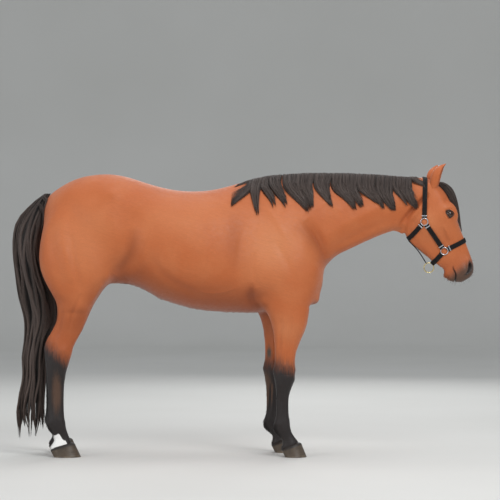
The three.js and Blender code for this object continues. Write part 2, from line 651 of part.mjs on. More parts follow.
function fleshSolids(raised) {
  const both = (legs, meshing) => ({
    right: limbSolid(legs.right, meshing, raised),
    left: limbSolid(legs.left, meshing, raised),
  });
  return {
    trunk: limbSolid(trunk, MESHING.trunk, raised),
    neck: limbSolid(neck, MESHING.neck, raised),
    head: limbSolid(head, MESHING.head, raised),
    forelegs: both(forelegs, MESHING.foreleg),
    hindLegs: both(hindLegs, MESHING.hindLeg),
  };
}

function joined({ trunk: whole, neck: neckSolid, head: headSolid, forelegs: fore, hindLegs: hind }) {
  const others = [neckSolid, headSolid, fore.right, fore.left, hind.right, hind.left];
  return others.reduce((sum, part) => sum.add(part), whole);
}

const limbs = fleshSolids(0);
const flesh = joined(fleshSolids(RAISED));

function eyeball(side, radius) {
  const geometry = new THREE.IcosahedronGeometry(radius, 1);
  const middle = head.point(EYE.along, EYE.up, EYE.sideways * side);
  geometry.translate(middle.x, middle.y, middle.z);
  return solid(geometry);
}

function trunkPart() {
  const underFore = block([WAIST, -FAR, -FAR], [FAR, FAR, FORE_TOP]);
  const underHind = sideOf(CUTS.hindTop, 0, true).intersect(block([-FAR, -FAR, -FAR], [WAIST, FAR, FAR]));
  return [...Object.values(limbs.forelegs), ...Object.values(limbs.hindLegs)]
    .reduce((whole, part) => whole.add(part), limbs.trunk)
    .intersect(sideOf(CUTS.neckRoot, -GAP, false))
    .subtract(underFore)
    .subtract(underHind);
}

const neckPart = () =>
  limbs.neck.intersect(sideOf(CUTS.neckRoot, GAP, true)).intersect(sideOf(CUTS.nape, -GAP, false));

const headPart = () =>
  limbs.head
    .intersect(sideOf(CUTS.nape, GAP, true))
    .subtract(eyeball(RIGHT, EYE.radius + SEAM))
    .subtract(eyeball(LEFT, EYE.radius + SEAM));

// The part of a leg on its own side of the horse, out of the trunk and down to the hoof
function legPart(limb, side, top, hoofCut) {
  const near = Math.min(side * LEGS_APART, side * FAR);
  const far = Math.max(side * LEGS_APART, side * FAR);
  return limb.intersect(block([-FAR, near, -FAR], [FAR, far, FAR])).intersect(top).intersect(hoofCut);
}

// ---------------------------------------------------------------- hooves
const coronet = (shape, back) => [
  [shape.topFront - back, CORONET_FRONT],
  [shape.topBack - back, CORONET_BACK],
];

// Rings from the flat sole up to the slanted coronet
function hoof(shape, side, back) {
  const rings = spread(0, 1, HOOF_RINGS).map((t) => {
    const front = lerp(shape.toe, shape.topFront, t) - back;
    const heel = lerp(shape.heel, shape.topBack, t) - back;
    const half = lerp(shape.half, shape.topHalf, t ** 0.8);
    const widest = lerp(heel, front, 0.46);
    return around(HOOF_SIDES).map((angle) => {
      const ahead = Math.cos(angle * DEGREE);
      const aside = Math.sin(angle * DEGREE);
      const power = ahead > 0 ? 2 : 2.6;
      const round = (Math.abs(ahead) ** power + Math.abs(aside) ** power) ** (-1 / power);
      const x = widest + ahead * round * (ahead > 0 ? front - widest : widest - heel);
      const top = lerp(CORONET_BACK, CORONET_FRONT, (x - heel) / (front - heel));
      return vec(x, side * shape.middle + aside * round * half, t * (top - SEAM));
    });
  });
  return solid(skinOfRings(rings));
}

// ---------------------------------------------------------------- ears
// The cup's half width swells from the base to a widest place at two fifths and comes to a point.
function ear(name) {
  const side = SIDES[name];
  const base = vec(...EAR.base);
  const axis = vec(...EAR.tips[name]).sub(base);
  const long = axis.length();
  axis.normalize();
  const open = vec(...EAR.opens).projectOnPlane(axis).normalize();
  const across = axis.clone().cross(open);
  const arc = spread(-1, 1, EAR.sides);
  const rings = spread(0, 1, EAR.rings).map((t) => {
    const half = EAR.half * (0.66 + 1.5 * t - 0.9 * t * t - 1.18 * t ** 4);
    const curl = lerp(...EAR.curl, t ** 0.8) * DEGREE;
    const lean = EAR.lean * (Math.sin(t * Math.PI) - 0.6 * t);
    const middle = base.clone().addScaledVector(axis, long * t).addScaledVector(open, -lean);
    const wall = Math.min(EAR.wall, half * 0.45);
    const edge = (a, radius) =>
      middle
        .clone()
        .addScaledVector(open, -Math.cos(a * curl) * radius)
        .addScaledVector(across, Math.sin(a * curl) * radius);
    const outer = arc.map((a) => edge(a, half));
    const inner = arc.map((a) => edge(a, half - wall)).reverse();
    return [...outer, ...inner].map((p) => vec(p.x, p.y * side, p.z));
  });
  return solid(stripCapped(rings)).subtract(flesh);
}

// Closed mesh of rings whose second half runs back beside the first, closed by strips at the ends
function stripCapped(rings) {
  const sides = rings[0].length;
  const positions = rings.flat().flatMap((p) => [p.x, p.y, p.z]);
  const faces = [];
  for (let ring = 0; ring + 1 < rings.length; ring += 1) {
    for (let side = 0; side < sides; side += 1) {
      const a = ring * sides + side;
      const b = ring * sides + ((side + 1) % sides);
      faces.push(a, b, b + sides, a, b + sides, a + sides);
    }
  }
  const end = (rings.length - 1) * sides;
  for (let side = 0; side + 1 < sides / 2; side += 1) {
    const [a, b, c, d] = [side, side + 1, sides - 2 - side, sides - 1 - side];
    faces.push(a, c, b, a, d, c);
    faces.push(end + a, end + b, end + c, end + a, end + c, end + d);
  }
  return closedGeometry(positions, faces);
}

// ---------------------------------------------------------------- hair
// A slab over the skin: rows of outer points and of inner points, sewn together round the edge
function slab(outer, inner) {
  const rings = outer.map((row, i) => [...row, ...[...inner[i]].reverse()]);
  return solid(stripCapped(rings)).subtract(flesh);
}

// The angle at which a section of a limb comes down to the height z, on the right side
function angleDownTo(limb, x, z) {
  let [high, low] = [0, 120];
  for (let step = 0; step < 12; step += 1) {
    const middle = (high + low) / 2;
    if (skinPoint(limb, x, -middle).z > z) {
      high = middle;
    } else {
      low = middle;
    }
  }
  return high;
}

function mane() {
  const [first, last] = [MANE_EDGE[0][0], MANE_EDGE[MANE_EDGE.length - 1][0]];
  const columns = MANE_EDGE.map(([x, z]) => {
    const limb = x > NECK_STARTS ? neck : trunk;
    const rising = clamp((x - first) / MANE_FADES[0] + 0.3, 0, 1);
    const ends = rising * clamp((last - x) / MANE_FADES[1] + 0.4, 0, 1);
    const angles = [MANE_LEFT, ...spread(0, angleDownTo(limb, x, z), MANE_ROWS)];
    const thick = angles.map((_, i) => {
      const full = lerp(MANE_TOP, MANE_THICK, clamp(i - 1, 0, 1));
      return full * ends * (i === MANE_ROWS || i === 0 ? 0.4 : 1);
    });
    return {
      outer: angles.map((angle, i) => skinPoint(limb, x, -angle, HAIR_CLEAR + thick[i])),
      inner: angles.map((angle) => skinPoint(limb, x, -angle, HAIR_CLEAR)),
    };
  });
  return slab(columns.map((column) => column.outer), columns.map((column) => column.inner));
}

function forelock() {
  const rows = spread(0, 1, FORELOCK.rows).map((t) => {
    const s = lerp(FORELOCK.start, FORELOCK.end, t);
    const half = FORELOCK.half * (0.66 + 1.2 * t - 1.83 * t * t) + 2;
    const arch = FORELOCK.arch * Math.sin(Math.PI * t ** 0.62) * (1 - 0.35 * t);
    const section = head.section(s);
    const sides = spread(-1, 1, FORELOCK.columns);
    const angles = sides.map((a) => Math.atan2(a * half, section.high - section.widest) / DEGREE);
    const lift = (a) => (FORELOCK.thick + arch) * (1 - 0.72 * a * a) + HAIR_CLEAR;
    return {
      outer: angles.map((angle, i) => skinPoint(head, s, angle, lift(sides[i]), 90)),
      inner: angles.map((angle) => skinPoint(head, s, angle, HAIR_CLEAR)),
    };
  });
  return slab(rows.map((row) => row.outer), rows.map((row) => row.inner));
}

// The tail is a limb that runs down, written by its back and front.
function tail() {
  const rows = TAIL.map(([name, z, back, front, half, widest, upper, lower]) => [
    name, -z, -back, -front, half, -widest, upper, lower,
  ]);
  const limb = new Limb(rows, {
    origin: vec(0, 0, 0),
    along: vec(0, 0, -1),
    up: vec(-1, 0, 0),
    aside: vec(0, 1, 0),
  });
  const rings = stationsOf(limb, TAIL_STEP).map((s) => {
    const section = limb.section(s);
    return around(TAIL_SIDES).map((angle) => {
      const up = Math.cos(angle * DEGREE);
      const aside = Math.sin(angle * DEGREE);
      const reach = limb.reach(section, up, aside);
      return limb.point(s, section.widest + up * reach, aside * reach);
    });
  });
  return solid(skinOfRings(rings)).subtract(flesh);
}

// ---------------------------------------------------------------- halter
// Where a ray from a place inside the head comes out through its skin
function comesOut(start, direction, lift) {
  let [near, far] = [0, 420];
  for (let step = 0; step < 22; step += 1) {
    const middle = (near + far) / 2;
    if (body(start.clone().addScaledVector(direction, middle)) < lift) {
      near = middle;
    } else {
      far = middle;
    }
  }
  return start.clone().addScaledVector(direction, near);
}

// Points on the skin in the plane through `from` and `towards` and straight sideways, from the
// right side of `from`, over or under the middle line, to its left side
function band([x0, z0], [x1, z1], limit = 90, lift = STRAP_LIFT) {
  const ahead = vec(x1 - x0, 0, z1 - z0).normalize();
  return spread(-limit, limit, 121).map((angle) => {
    const direction = ahead.clone().multiplyScalar(Math.cos(angle * DEGREE));
    direction.y = Math.sin(angle * DEGREE);
    return comesOut(vec(x0, 0, z0), direction, lift);
  });
}

// Points down one side, straight from one [x, z] to another
function sideLine([x0, z0], [x1, z1], side) {
  return spread(0, 1, 40).map((t) =>
    comesOut(vec(lerp(x0, x1, t), 0, lerp(z0, z1, t)), vec(0, side, 0), STRAP_LIFT),
  );
}

// Points along a line at even steps, with a length cut off both its ends
function evenly(points, step, cutStart, cutEnd) {
  const curve = new THREE.CurvePath();
  points.slice(1).forEach((p, i) => curve.add(new THREE.LineCurve3(points[i], p)));
  const long = curve.getLength();
  const count = Math.max(2, Math.round((long - cutStart - cutEnd) / step) + 1);
  return spread(cutStart / long, 1 - cutEnd / long, count).map((t) => curve.getPointAt(t));
}

// A flat strap along points, with its broad side to the skin
function strap(points, normals) {
  const rings = points.map((p, i) => {
    const before = points[Math.max(i - 1, 0)];
    const after = points[Math.min(i + 1, points.length - 1)];
    const ahead = after.clone().sub(before).normalize();
    const normal = normals[i];
    const across = ahead.clone().cross(normal).normalize();
    const out = across.clone().cross(ahead).normalize();
    const corner = (a, b) =>
      p.clone().addScaledVector(across, (a * STRAP_WIDTH) / 2).addScaledVector(out, b * STRAP_THICK);
    return [corner(-1, 0), corner(1, 0), corner(1, 1), corner(-1, 1)];
  });
  return solid(stripCapped(rings)).subtract(flesh);
}

function strapOnSkin(points, cutStart, cutEnd) {
  const path = evenly(points, STRAP_STEP, cutStart, cutEnd);
  return strap(path, path.map(skinNormal));
}

const RING_CLEAR = RING_RADIUS + RING_WIRE + SEAM;
const leadTop = vec(LEAD_RING[0], 0, LEAD_RING[1] + LEAD_RING_RADIUS + RING_WIRE + SEAM);

// The chin strap leaves the jaw and runs down to the top of the lead ring.
function chinStrap() {
  const wrap = band(LOWER_RING, LEAD_RING);
  const right = wrap.filter((p, i) => p.y < -30 || i === 0);
  const half = [...right, leadTop.clone().add(vec(STRAP_WIDTH / 4, -STRAP_WIDTH / 3, STRAP_WIDTH / 2))];
  const path = evenly(half, STRAP_STEP, RING_CLEAR, 0);
  const mirrored = path.map((p) => vec(p.x, -p.y, p.z)).reverse();
  const points = [...path, ...mirrored];
  const middle = vec(LOWER_RING[0], 0, LOWER_RING[1]);
  return strap(points, points.map((p) => p.clone().sub(middle).normalize()));
}

// The jaw strap hangs under the jaw from the throat strap to the lead ring.
function jawStrap() {
  const start = band(UPPER_RING, THROAT)[60];
  const end = leadTop.clone().add(vec(-STRAP_WIDTH, 0, -STRAP_WIDTH / 2));
  const ahead = end.clone().sub(start).normalize();
  const from = start.clone().addScaledVector(ahead, STRAP_WIDTH / 2 + 3);
  const slack = from.clone().lerp(end, 0.5).add(vec(JAW_STRAP_SAG[0], 0, JAW_STRAP_SAG[1]));
  const path = evenly([from, slack, end], JAW_STRAP_STEP, 0, 0);
  return strap(path, path.map(() => vec(-0.5, 0, -0.85)));
}

function wireRing(radius, middle, normal) {
  const geometry = new THREE.TorusGeometry(radius, RING_WIRE, 5, 10);
  const turn = new THREE.Quaternion().setFromUnitVectors(vec(0, 0, 1), normal);
  geometry.applyQuaternion(turn);
  geometry.translate(middle.x, middle.y, middle.z);
  return solid(geometry);
}

function halterRing([x, z], side) {
  const p = comesOut(vec(x, 0, z), vec(0, side, 0), RING_LIFT);
  return wireRing(RING_RADIUS, p, skinNormal(p));
}

// ---------------------------------------------------------------- the horse
const horse = new THREE.Group();

function addMesh(name, shape, look) {
  const mesh = shape.getMesh();
  const geometry = closedGeometry(Array.from(mesh.vertProperties), Array.from(mesh.triVerts));
  geometry.computeVertexNormals();
  const object = new THREE.Mesh(geometry, new THREE.MeshStandardMaterial(look));
  object.name = name;
  horse.add(object);
}

addMesh("trunk", trunkPart(), COAT);
addMesh("neck", neckPart(), COAT);
addMesh("head", headPart(), COAT);

for (const [name, side] of Object.entries(SIDES)) {
  const foreBack = side === LEFT ? LEFT_FORE_BACK : 0;
  const hindBack = side === LEFT ? LEFT_HIND_BACK : 0;
  const foreHoofCut = sideOf(coronet(HOOVES.fore, foreBack), 0, false);
  const hindHoofCut = sideOf(coronet(HOOVES.hind, hindBack), 0, false);
  const foreTop = sideOf(levelCut(FORE_TOP), SEAM, true);
  const hindTop = sideOf(CUTS.hindTop, SEAM, true);
  const foreleg = legPart(limbs.forelegs[name], side, foreTop, foreHoofCut);
  const hindLeg = legPart(limbs.hindLegs[name], side, hindTop, hindHoofCut);

  addMesh(`foreleg_upper_${name}`, foreleg.intersect(sideOf(levelCut(KNEE), -GAP, false)), COAT);
  addMesh(`foreleg_lower_${name}`, foreleg.intersect(sideOf(levelCut(KNEE), GAP, true)), POINTS);
  addMesh(`hoof_fore_${name}`, hoof(HOOVES.fore, side, foreBack), HORN);
  addMesh(`hindleg_upper_${name}`, hindLeg.intersect(sideOf(levelCut(HOCK), -GAP, false)), COAT);
  addMesh(`hindleg_lower_${name}`, hindLeg.intersect(sideOf(levelCut(HOCK), GAP, true)), POINTS);
  addMesh(`hoof_hind_${name}`, hoof(HOOVES.hind, side, hindBack), HORN);
  addMesh(`ear_${name}`, ear(name), COAT);
  addMesh(`eye_${name}`, eyeball(side, EYE.radius), EYEBALL);
  const cheek = sideLine(UPPER_RING, LOWER_RING, side);
  addMesh(`halter_cheek_strap_${name}`, strapOnSkin(cheek, RING_CLEAR, RING_CLEAR), WEBBING);
  addMesh(`halter_upper_ring_${name}`, halterRing(UPPER_RING, side), STEEL);
  addMesh(`halter_lower_ring_${name}`, halterRing(LOWER_RING, side), STEEL);
}

addMesh("mane", mane(), HAIR);
addMesh("forelock", forelock(), HAIR);
addMesh("tail", tail(), HAIR);
const ringToRing = (ring, over) => strapOnSkin(band(ring, over), RING_CLEAR, RING_CLEAR);
addMesh("halter_crown_strap", ringToRing(UPPER_RING, CROWN), WEBBING);
addMesh("halter_noseband", ringToRing(LOWER_RING, BRIDGE), WEBBING);
addMesh("halter_throat_strap", ringToRing(UPPER_RING, THROAT), WEBBING);
addMesh("halter_chin_strap", chinStrap(), WEBBING);
addMesh("halter_jaw_strap", jawStrap(), WEBBING);
const leadRingMiddle = vec(LEAD_RING[0], 0, LEAD_RING[1]);
addMesh("halter_lead_ring", wireRing(LEAD_RING_RADIUS, leadRingMiddle, vec(0, 1, 0)), BRASS);

// The origin lies on the floor under the middle of the horse.
const box = new THREE.Box3().setFromObject(horse);
horse.position.set(-(box.min.x + box.max.x) / 2, -(box.min.y + box.max.y) / 2, 0);
horse.scale.setScalar(FINE);

export default horse;
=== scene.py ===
"""The looks of a life-size bay horse that wears a webbing halter: one skin over the solids of its
flesh, with mane, tail and forelock in strands, and hooves, eyes and halter of their own.

Metres, in the frame of the solids: +X is ahead of the horse, +Y its left, +Z up."""

import math

import bmesh
import bpy
import numpy as np
from bpy.props import FloatProperty, FloatVectorProperty, IntProperty, PointerProperty
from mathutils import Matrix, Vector
from mathutils.bvhtree import BVHTree


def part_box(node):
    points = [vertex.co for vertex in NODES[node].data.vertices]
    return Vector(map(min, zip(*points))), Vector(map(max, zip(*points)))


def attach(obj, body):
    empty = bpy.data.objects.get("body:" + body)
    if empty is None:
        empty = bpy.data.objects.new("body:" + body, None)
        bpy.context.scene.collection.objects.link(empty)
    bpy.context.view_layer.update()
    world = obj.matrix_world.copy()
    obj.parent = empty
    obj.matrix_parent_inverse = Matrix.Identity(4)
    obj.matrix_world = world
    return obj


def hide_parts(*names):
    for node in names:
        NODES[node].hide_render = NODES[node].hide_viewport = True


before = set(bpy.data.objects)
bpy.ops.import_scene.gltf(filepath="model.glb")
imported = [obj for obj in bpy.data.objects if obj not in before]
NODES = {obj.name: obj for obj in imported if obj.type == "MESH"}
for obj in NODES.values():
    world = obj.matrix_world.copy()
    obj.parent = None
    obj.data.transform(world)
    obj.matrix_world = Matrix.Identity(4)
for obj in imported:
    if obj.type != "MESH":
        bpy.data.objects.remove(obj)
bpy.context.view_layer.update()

bl_info = {
    "name": "Bay Horse",
    "version": (1, 0, 0),
    "blender": (4, 5, 0),
    "location": "View3D > Sidebar > Horse",
    "description": "Dresses the solids of a life-size horse in skin, coat, hair and halter",
    "category": "Object",
}

SIDES = {"right": -1.0, "left": 1.0}
MADE = {}  # what one step leaves for the next: materials, the skin's surface and its search tree


def made(name):
    """What an earlier step has left; an error if that step hasn't been run."""
    if name not in MADE:
        raise RuntimeError(f"the step that leaves '{name}' has to be run first")
    return MADE[name]


# ---- sizes and colours
def length(name, value, description):
    return FloatProperty(name=name, default=value, description=description, unit="LENGTH", precision=4)


def colour(name, value, description):
    return FloatVectorProperty(name=name, default=value, size=3, min=0, max=1, subtype="COLOR",
                               description=description)


def srgb(red, green, blue):
    """A colour of 0 to 255 as the linear values that shaders use."""
    values = np.array([red, green, blue]) / 255
    return tuple(np.where(values < 0.04045, values / 12.92, ((values + 0.055) / 1.055) ** 2.4))


class SkinSizes(bpy.types.PropertyGroup):
    coarse: length("Coarse cell", 0.0075, "Cell of the first, smoothed surface")
    fine: length("Fine cell", 0.0034, "Cell of the surface that the details are shaped on")
    coat_depth: length("Coat depth", 0.0022, "How far the skin lies inside the solids")
    triangles: IntProperty(name="Triangles", default=184000, description="Faces left in the skin")


class CoatColours(bpy.types.PropertyGroup):
    body: colour("Body", srgb(186, 98, 50), "The red-brown of barrel, shoulder and thigh")
    light: colour("Light", srgb(203, 126, 80), "Where the coat catches the light")
    # Deep is painted shade: the darker bay laid in folds, under the belly and along the lower line
    deep: colour("Deep", srgb(142, 70, 35), "Folds, belly and the lower line")
    points: colour("Points", srgb(37, 31, 30), "The black-brown of legs, muzzle and ear rims")
    cannon: colour("Cannon", srgb(92, 66, 50), "The browner middle of the lower legs")
    muzzle: colour("Muzzle", srgb(88, 62, 48), "Nose, lips and chin")
    white: colour("White", srgb(247, 246, 243), "The mark on the right hind pastern")
    hair: colour("Hair", srgb(56, 46, 42), "Mane, tail and forelock")
    hair_light: colour("Hair, light", srgb(88, 73, 66), "The sun-bleached strands among them")


class HairSizes(bpy.types.PropertyGroup):
    mane_strands: IntProperty(name="Mane strands", default=4200, description="Strands in the mane")
    forelock_strands: IntProperty(name="Forelock strands", default=900, description="In the forelock")
    tail_strands: IntProperty(name="Tail strands", default=3600, description="Strands in the tail")
    strand: length("Strand", 0.0030, "Mean width of a strand of long hair")


class HalterSizes(bpy.types.PropertyGroup):
    strap: length("Strap width", 0.026, "Width of the webbing")
    thickness: length("Strap thickness", 0.0030, "Thickness of the webbing")
    lift: length("Lift", 0.0034, "Gap between the skin and a strap")
    ring_radius: length("Ring radius", 0.020, "To the middle of the side rings' wire")
    ring_wire: length("Ring wire", 0.0030, "Radius of the rings' wire")
    lead_ring_radius: length("Lead ring radius", 0.027, "To the middle of the lead ring's wire")


class StageSizes(bpy.types.PropertyGroup):
    lens: FloatProperty(name="Lens", default=148.0, description="Focal length in millimetres")
    distance: length("Distance", 11.4, "From the camera to the horse's middle plane")
    camera_x: length("Camera x", 0.036, "How far ahead of the horse's middle the camera stands")
    camera_height: length("Camera height", 1.134, "Height of the camera over the floor")
    world: FloatProperty(name="World", default=0.45, description="Strength of the light all round")
    key: FloatProperty(name="Key light", default=250.0, unit="POWER", description="From the front right")
    fill: FloatProperty(name="Fill light", default=110.0, unit="POWER", description="From behind right")
    top: FloatProperty(name="Top light", default=82.0, unit="POWER", description="From overhead")
    far: FloatProperty(name="Far light", default=80.0, unit="POWER", description="From the left side")


# ---- surfaces in numpy
def unit(vectors):
    return vectors / np.maximum(np.linalg.norm(vectors, axis=-1, keepdims=True), 1e-12)


def smoothstep(low, high, x):
    """0 below `low`, 1 above `high`, and 3t^2 - 2t^3 between them."""
    t = np.clip((np.asarray(x, float) - low) / (high - low), 0, 1)
    return t * t * (3 - 2 * t)


def bell(x, middle, reach):
    """1 in the middle, falling as exp(-d^2) with d counted in reaches."""
    return np.exp(-(((np.asarray(x, float) - middle) / reach) ** 2))


def new_mesh(name, points, faces):
    """A mesh of points and of triangles or quads, all of one kind, with foreach_set."""
    mesh = bpy.data.meshes.new(name)
    points = np.ascontiguousarray(points, np.float32).reshape(-1, 3)
    faces = np.ascontiguousarray(faces, np.int32)
    count, sides = faces.shape
    mesh.vertices.add(len(points))
    mesh.vertices.foreach_set("co", points.ravel())
    mesh.loops.add(count * sides)
    mesh.loops.foreach_set("vertex_index", faces.ravel())
    mesh.polygons.add(count)
    mesh.polygons.foreach_set("loop_start", np.arange(0, count * sides, sides, dtype=np.int32))
    mesh.polygons.foreach_set("use_smooth", np.ones(count, bool))
    mesh.update(calc_edges=True)
    mesh.validate()
    return mesh


def new_piece(name, points, faces, material, replaces=()):
    """A finished piece that rides on the body and stands for its CAD nodes."""
    piece = bpy.data.objects.new(name, new_mesh(name, points, faces))
    return dress(piece, material, replaces)


def dress(piece, material=None, replaces=()):
    if piece.name not in bpy.context.scene.collection.objects:
        bpy.context.scene.collection.objects.link(piece)
    if material is not None:
        piece.data.materials.clear()
        piece.data.materials.append(material)
    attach(piece, "root")
    if replaces:
        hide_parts(*replaces)
    return piece


def read_all(items, name, columns, kind=np.float32):
    """The value of a name for all items of a mesh, in rows of so many columns."""
    values = np.empty(len(items) * columns, kind)
    items.foreach_get(name, values)
    return values.reshape(-1, columns)


def points_of(mesh):
    return read_all(mesh.vertices, "co", 3).astype(float)


def normals_of(mesh):
    return read_all(mesh.vertex_normals, "vector", 3).astype(float)


def corners_of(mesh):
    """The point at each corner of the mesh's faces, one face after another."""
    return read_all(mesh.loops, "vertex_index", 1, np.int32).ravel()


def edges_of(mesh):
    return read_all(mesh.edges, "vertices", 2, np.int32)


def move_points(mesh, points):
    mesh.vertices.foreach_set("co", np.ascontiguousarray(points, np.float32).ravel())
    mesh.update()


def grid_faces(rows, columns, closed):
    """Quads over a grid of rows by columns of points, the columns joined up where `closed`."""
    across = np.arange(columns if closed else columns - 1)
    a = (np.arange(rows - 1)[:, None] * columns + across).ravel()
    b = (np.arange(rows - 1)[:, None] * columns + (across + 1) % columns).ravel()
    return np.stack([a, b, b + columns, a + columns], axis=1)


def applied(piece):
    """The piece's mesh with its modifiers worked in, which are then taken off."""
    graph = bpy.context.evaluated_depsgraph_get()
    graph.update()
    mesh = bpy.data.meshes.new_from_object(piece.evaluated_get(graph))
    piece.modifiers.clear()
    old = piece.data
    piece.data = mesh
    bpy.data.meshes.remove(old)
    return mesh


def remeshed(piece, cell):
    """The piece's outer surface in even cells, where overlapping closed parts have grown together."""
    modifier = piece.modifiers.new("cells", "REMESH")
    modifier.mode = "VOXEL"
    modifier.voxel_size = cell
    modifier.use_smooth_shade = True
    return applied(piece)


def spread_out(points, edges, weight, steps=2, tries=3):
    """Smooths points without shrinking the form. Each step solves x + w L x = given, where L x is
    the sum of differences to the neighbours, by conjugate gradients; the loss is put back twice."""
    first, second = edges[:, 0], edges[:, 1]
    weights = 0.5 * (weight[first] + weight[second])
    count = len(points)
    diagonal = 1 + np.bincount(first, weights, count) + np.bincount(second, weights, count)

    def matrix(x):
        out = x * diagonal[:, None]
        for axis in range(x.shape[1]):
            out[:, axis] -= np.bincount(first, weights * x[second, axis], count)
            out[:, axis] -= np.bincount(second, weights * x[first, axis], count)
        return out

    def solve(given):
        x = given.copy()
        left = given - matrix(x)
        ready = left / diagonal[:, None]
        way = ready.copy()
        size = (left * ready).sum(axis=0)
        for _ in range(60):
            pushed = matrix(way)
            step = size / np.maximum((way * pushed).sum(axis=0), 1e-30)
            x += step * way
            left -= step * pushed
            if np.abs(left).max() < 2e-6:
                break
            ready = left / diagonal[:, None]
            new_size = (left * ready).sum(axis=0)
            way = ready + way * (new_size / np.maximum(size, 1e-30))
            size = new_size
        return x

    middle = points.mean(axis=0)
    smooth = np.zeros_like(points)
    rest = points - middle
    for _ in range(tries):
        part = rest
        for _ in range(steps):
            part = solve(part)
        smooth += part
        rest = rest - part
    return smooth + middle


# ---- where things lie on the horse
def box_middle(node):
    low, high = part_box(node)
    return (np.array(low) + np.array(high)) / 2


HEAD_SLOPE = math.radians(61.7)  # how far the face slopes below the level
HEAD_ALONG = np.array([math.cos(HEAD_SLOPE), 0, -math.sin(HEAD_SLOPE)])
HEAD_UP = np.array([math.sin(HEAD_SLOPE), 0, math.cos(HEAD_SLOPE)])
EYE_PLACE = (0.222, 0.004)  # of the eyes' middles, along the head from the poll, and up from it
EYES = {side: box_middle(f"eye_{side}") for side in SIDES}
EYE_RADIUS = (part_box("eye_right")[1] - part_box("eye_right")[0]).z / 2
POLL = (EYES["right"] + EYES["left"]) / 2 - EYE_PLACE[0] * HEAD_ALONG - EYE_PLACE[1] * HEAD_UP
LEFT_FORE_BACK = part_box("hoof_fore_right")[1].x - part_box("hoof_fore_left")[1].x
LEFT_HIND_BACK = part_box("hoof_hind_right")[1].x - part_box("hoof_hind_left")[1].x
WAIST = -0.45  # an X between the shoulders and the haunches


def head_frame(points):
    """A point's place along the head from the poll to the nose, sideways, and up out of the face."""
    local = np.asarray(points) - POLL
    return np.stack([local @ HEAD_ALONG, local[..., 1], local @ HEAD_UP], axis=-1)


def from_head_frame(local):
    local = np.asarray(local, float)
    aside = local[..., 1:2] * np.array([0, 1, 0])
    return POLL + local[..., :1] * HEAD_ALONG + aside + local[..., 2:] * HEAD_UP


def home(points):
    """Points with the left legs brought forward beside the right ones, so that both read one table:
    the legs move whole up to the elbow or the stifle, and less and less above it."""
    x, y, z = np.asarray(points).T
    fore = LEFT_FORE_BACK * (1 - smoothstep(0.95, 1.25, z))
    hind = LEFT_HIND_BACK * (1 - smoothstep(1.10, 1.40, z))
    back = np.where(x > WAIST, fore * smoothstep(-0.25, -0.05, x), hind * smoothstep(WAIST, -0.6, x))
    return np.stack([x + np.where(y > 0, back, 0), y, z], axis=-1)


def head_share(points):
    """1 on the head, 0 on the neck, with a soft change behind the jaw."""
    along, _, up = head_frame(points).T
    return smoothstep(-0.02, 0.05, along + 0.25 * np.minimum(up + 0.12, 0) + 0.01) * (points[:, 0] > 0.85)


def leg_share(points):
    """1 on the legs below elbow and stifle, 0 on the trunk."""
    x, _, z = np.asarray(points).T
    top = np.where(x > WAIST, 0.76, 0.86)
    return (1 - smoothstep(top - 0.06, top + 0.14, z)) * (x < 0.75)


# ---- the skin's first form
FLESH = ["trunk", "neck", "head"]
FLESH += [f"{leg}_{part}_{side}" for leg in ("foreleg", "hindleg") for part in ("upper", "lower")
          for side in SIDES]
SKIN_NODES = FLESH + ["ear_right", "ear_left"]
SMOOTHING = {"body": 0.034, "legs": 0.014, "head": 0.011}  # how far forms flow into each other


def merged_copy(nodes, grown):
    """Points and triangles of the nodes' merged copies, each grown so that neighbours overlap."""
    all_points, all_faces, count = [], [], 0
    for node in nodes:
        shape = bmesh.new()
        shape.from_mesh(NODES[node].data)
        bmesh.ops.remove_doubles(shape, verts=shape.verts, dist=1e-5)
        bmesh.ops.triangulate(shape, faces=shape.faces)
        shape.normal_update()
        points = np.array([v.co + v.normal * grown for v in shape.verts])
        faces = np.array([[v.index for v in f.verts] for f in shape.faces])
        shape.free()
        all_points.append(points)
        all_faces.append(faces + count)
        count += len(points)
    return np.concatenate(all_points), np.concatenate(all_faces)


def first_form(cell):
    """The flesh as one smooth surface. Its flat facets are taken out by spreading each point's place
    over a distance that is long on the body and short on the legs and the head."""
    points, faces = merged_copy(FLESH + ["eye_right", "eye_left"], 0.0004)
    piece = bpy.data.objects.new("skin", new_mesh("skin", points, faces))
    bpy.context.scene.collection.objects.link(piece)
    mesh = remeshed(piece, cell)
    points = points_of(mesh)
    head, legs = head_share(points), leg_share(points)
    reach = SMOOTHING["body"] + (SMOOTHING["legs"] - SMOOTHING["body"]) * legs
    reach += (SMOOTHING["head"] - reach) * head
    move_points(mesh, spread_out(points, edges_of(mesh), (reach / cell) ** 2))
    return piece


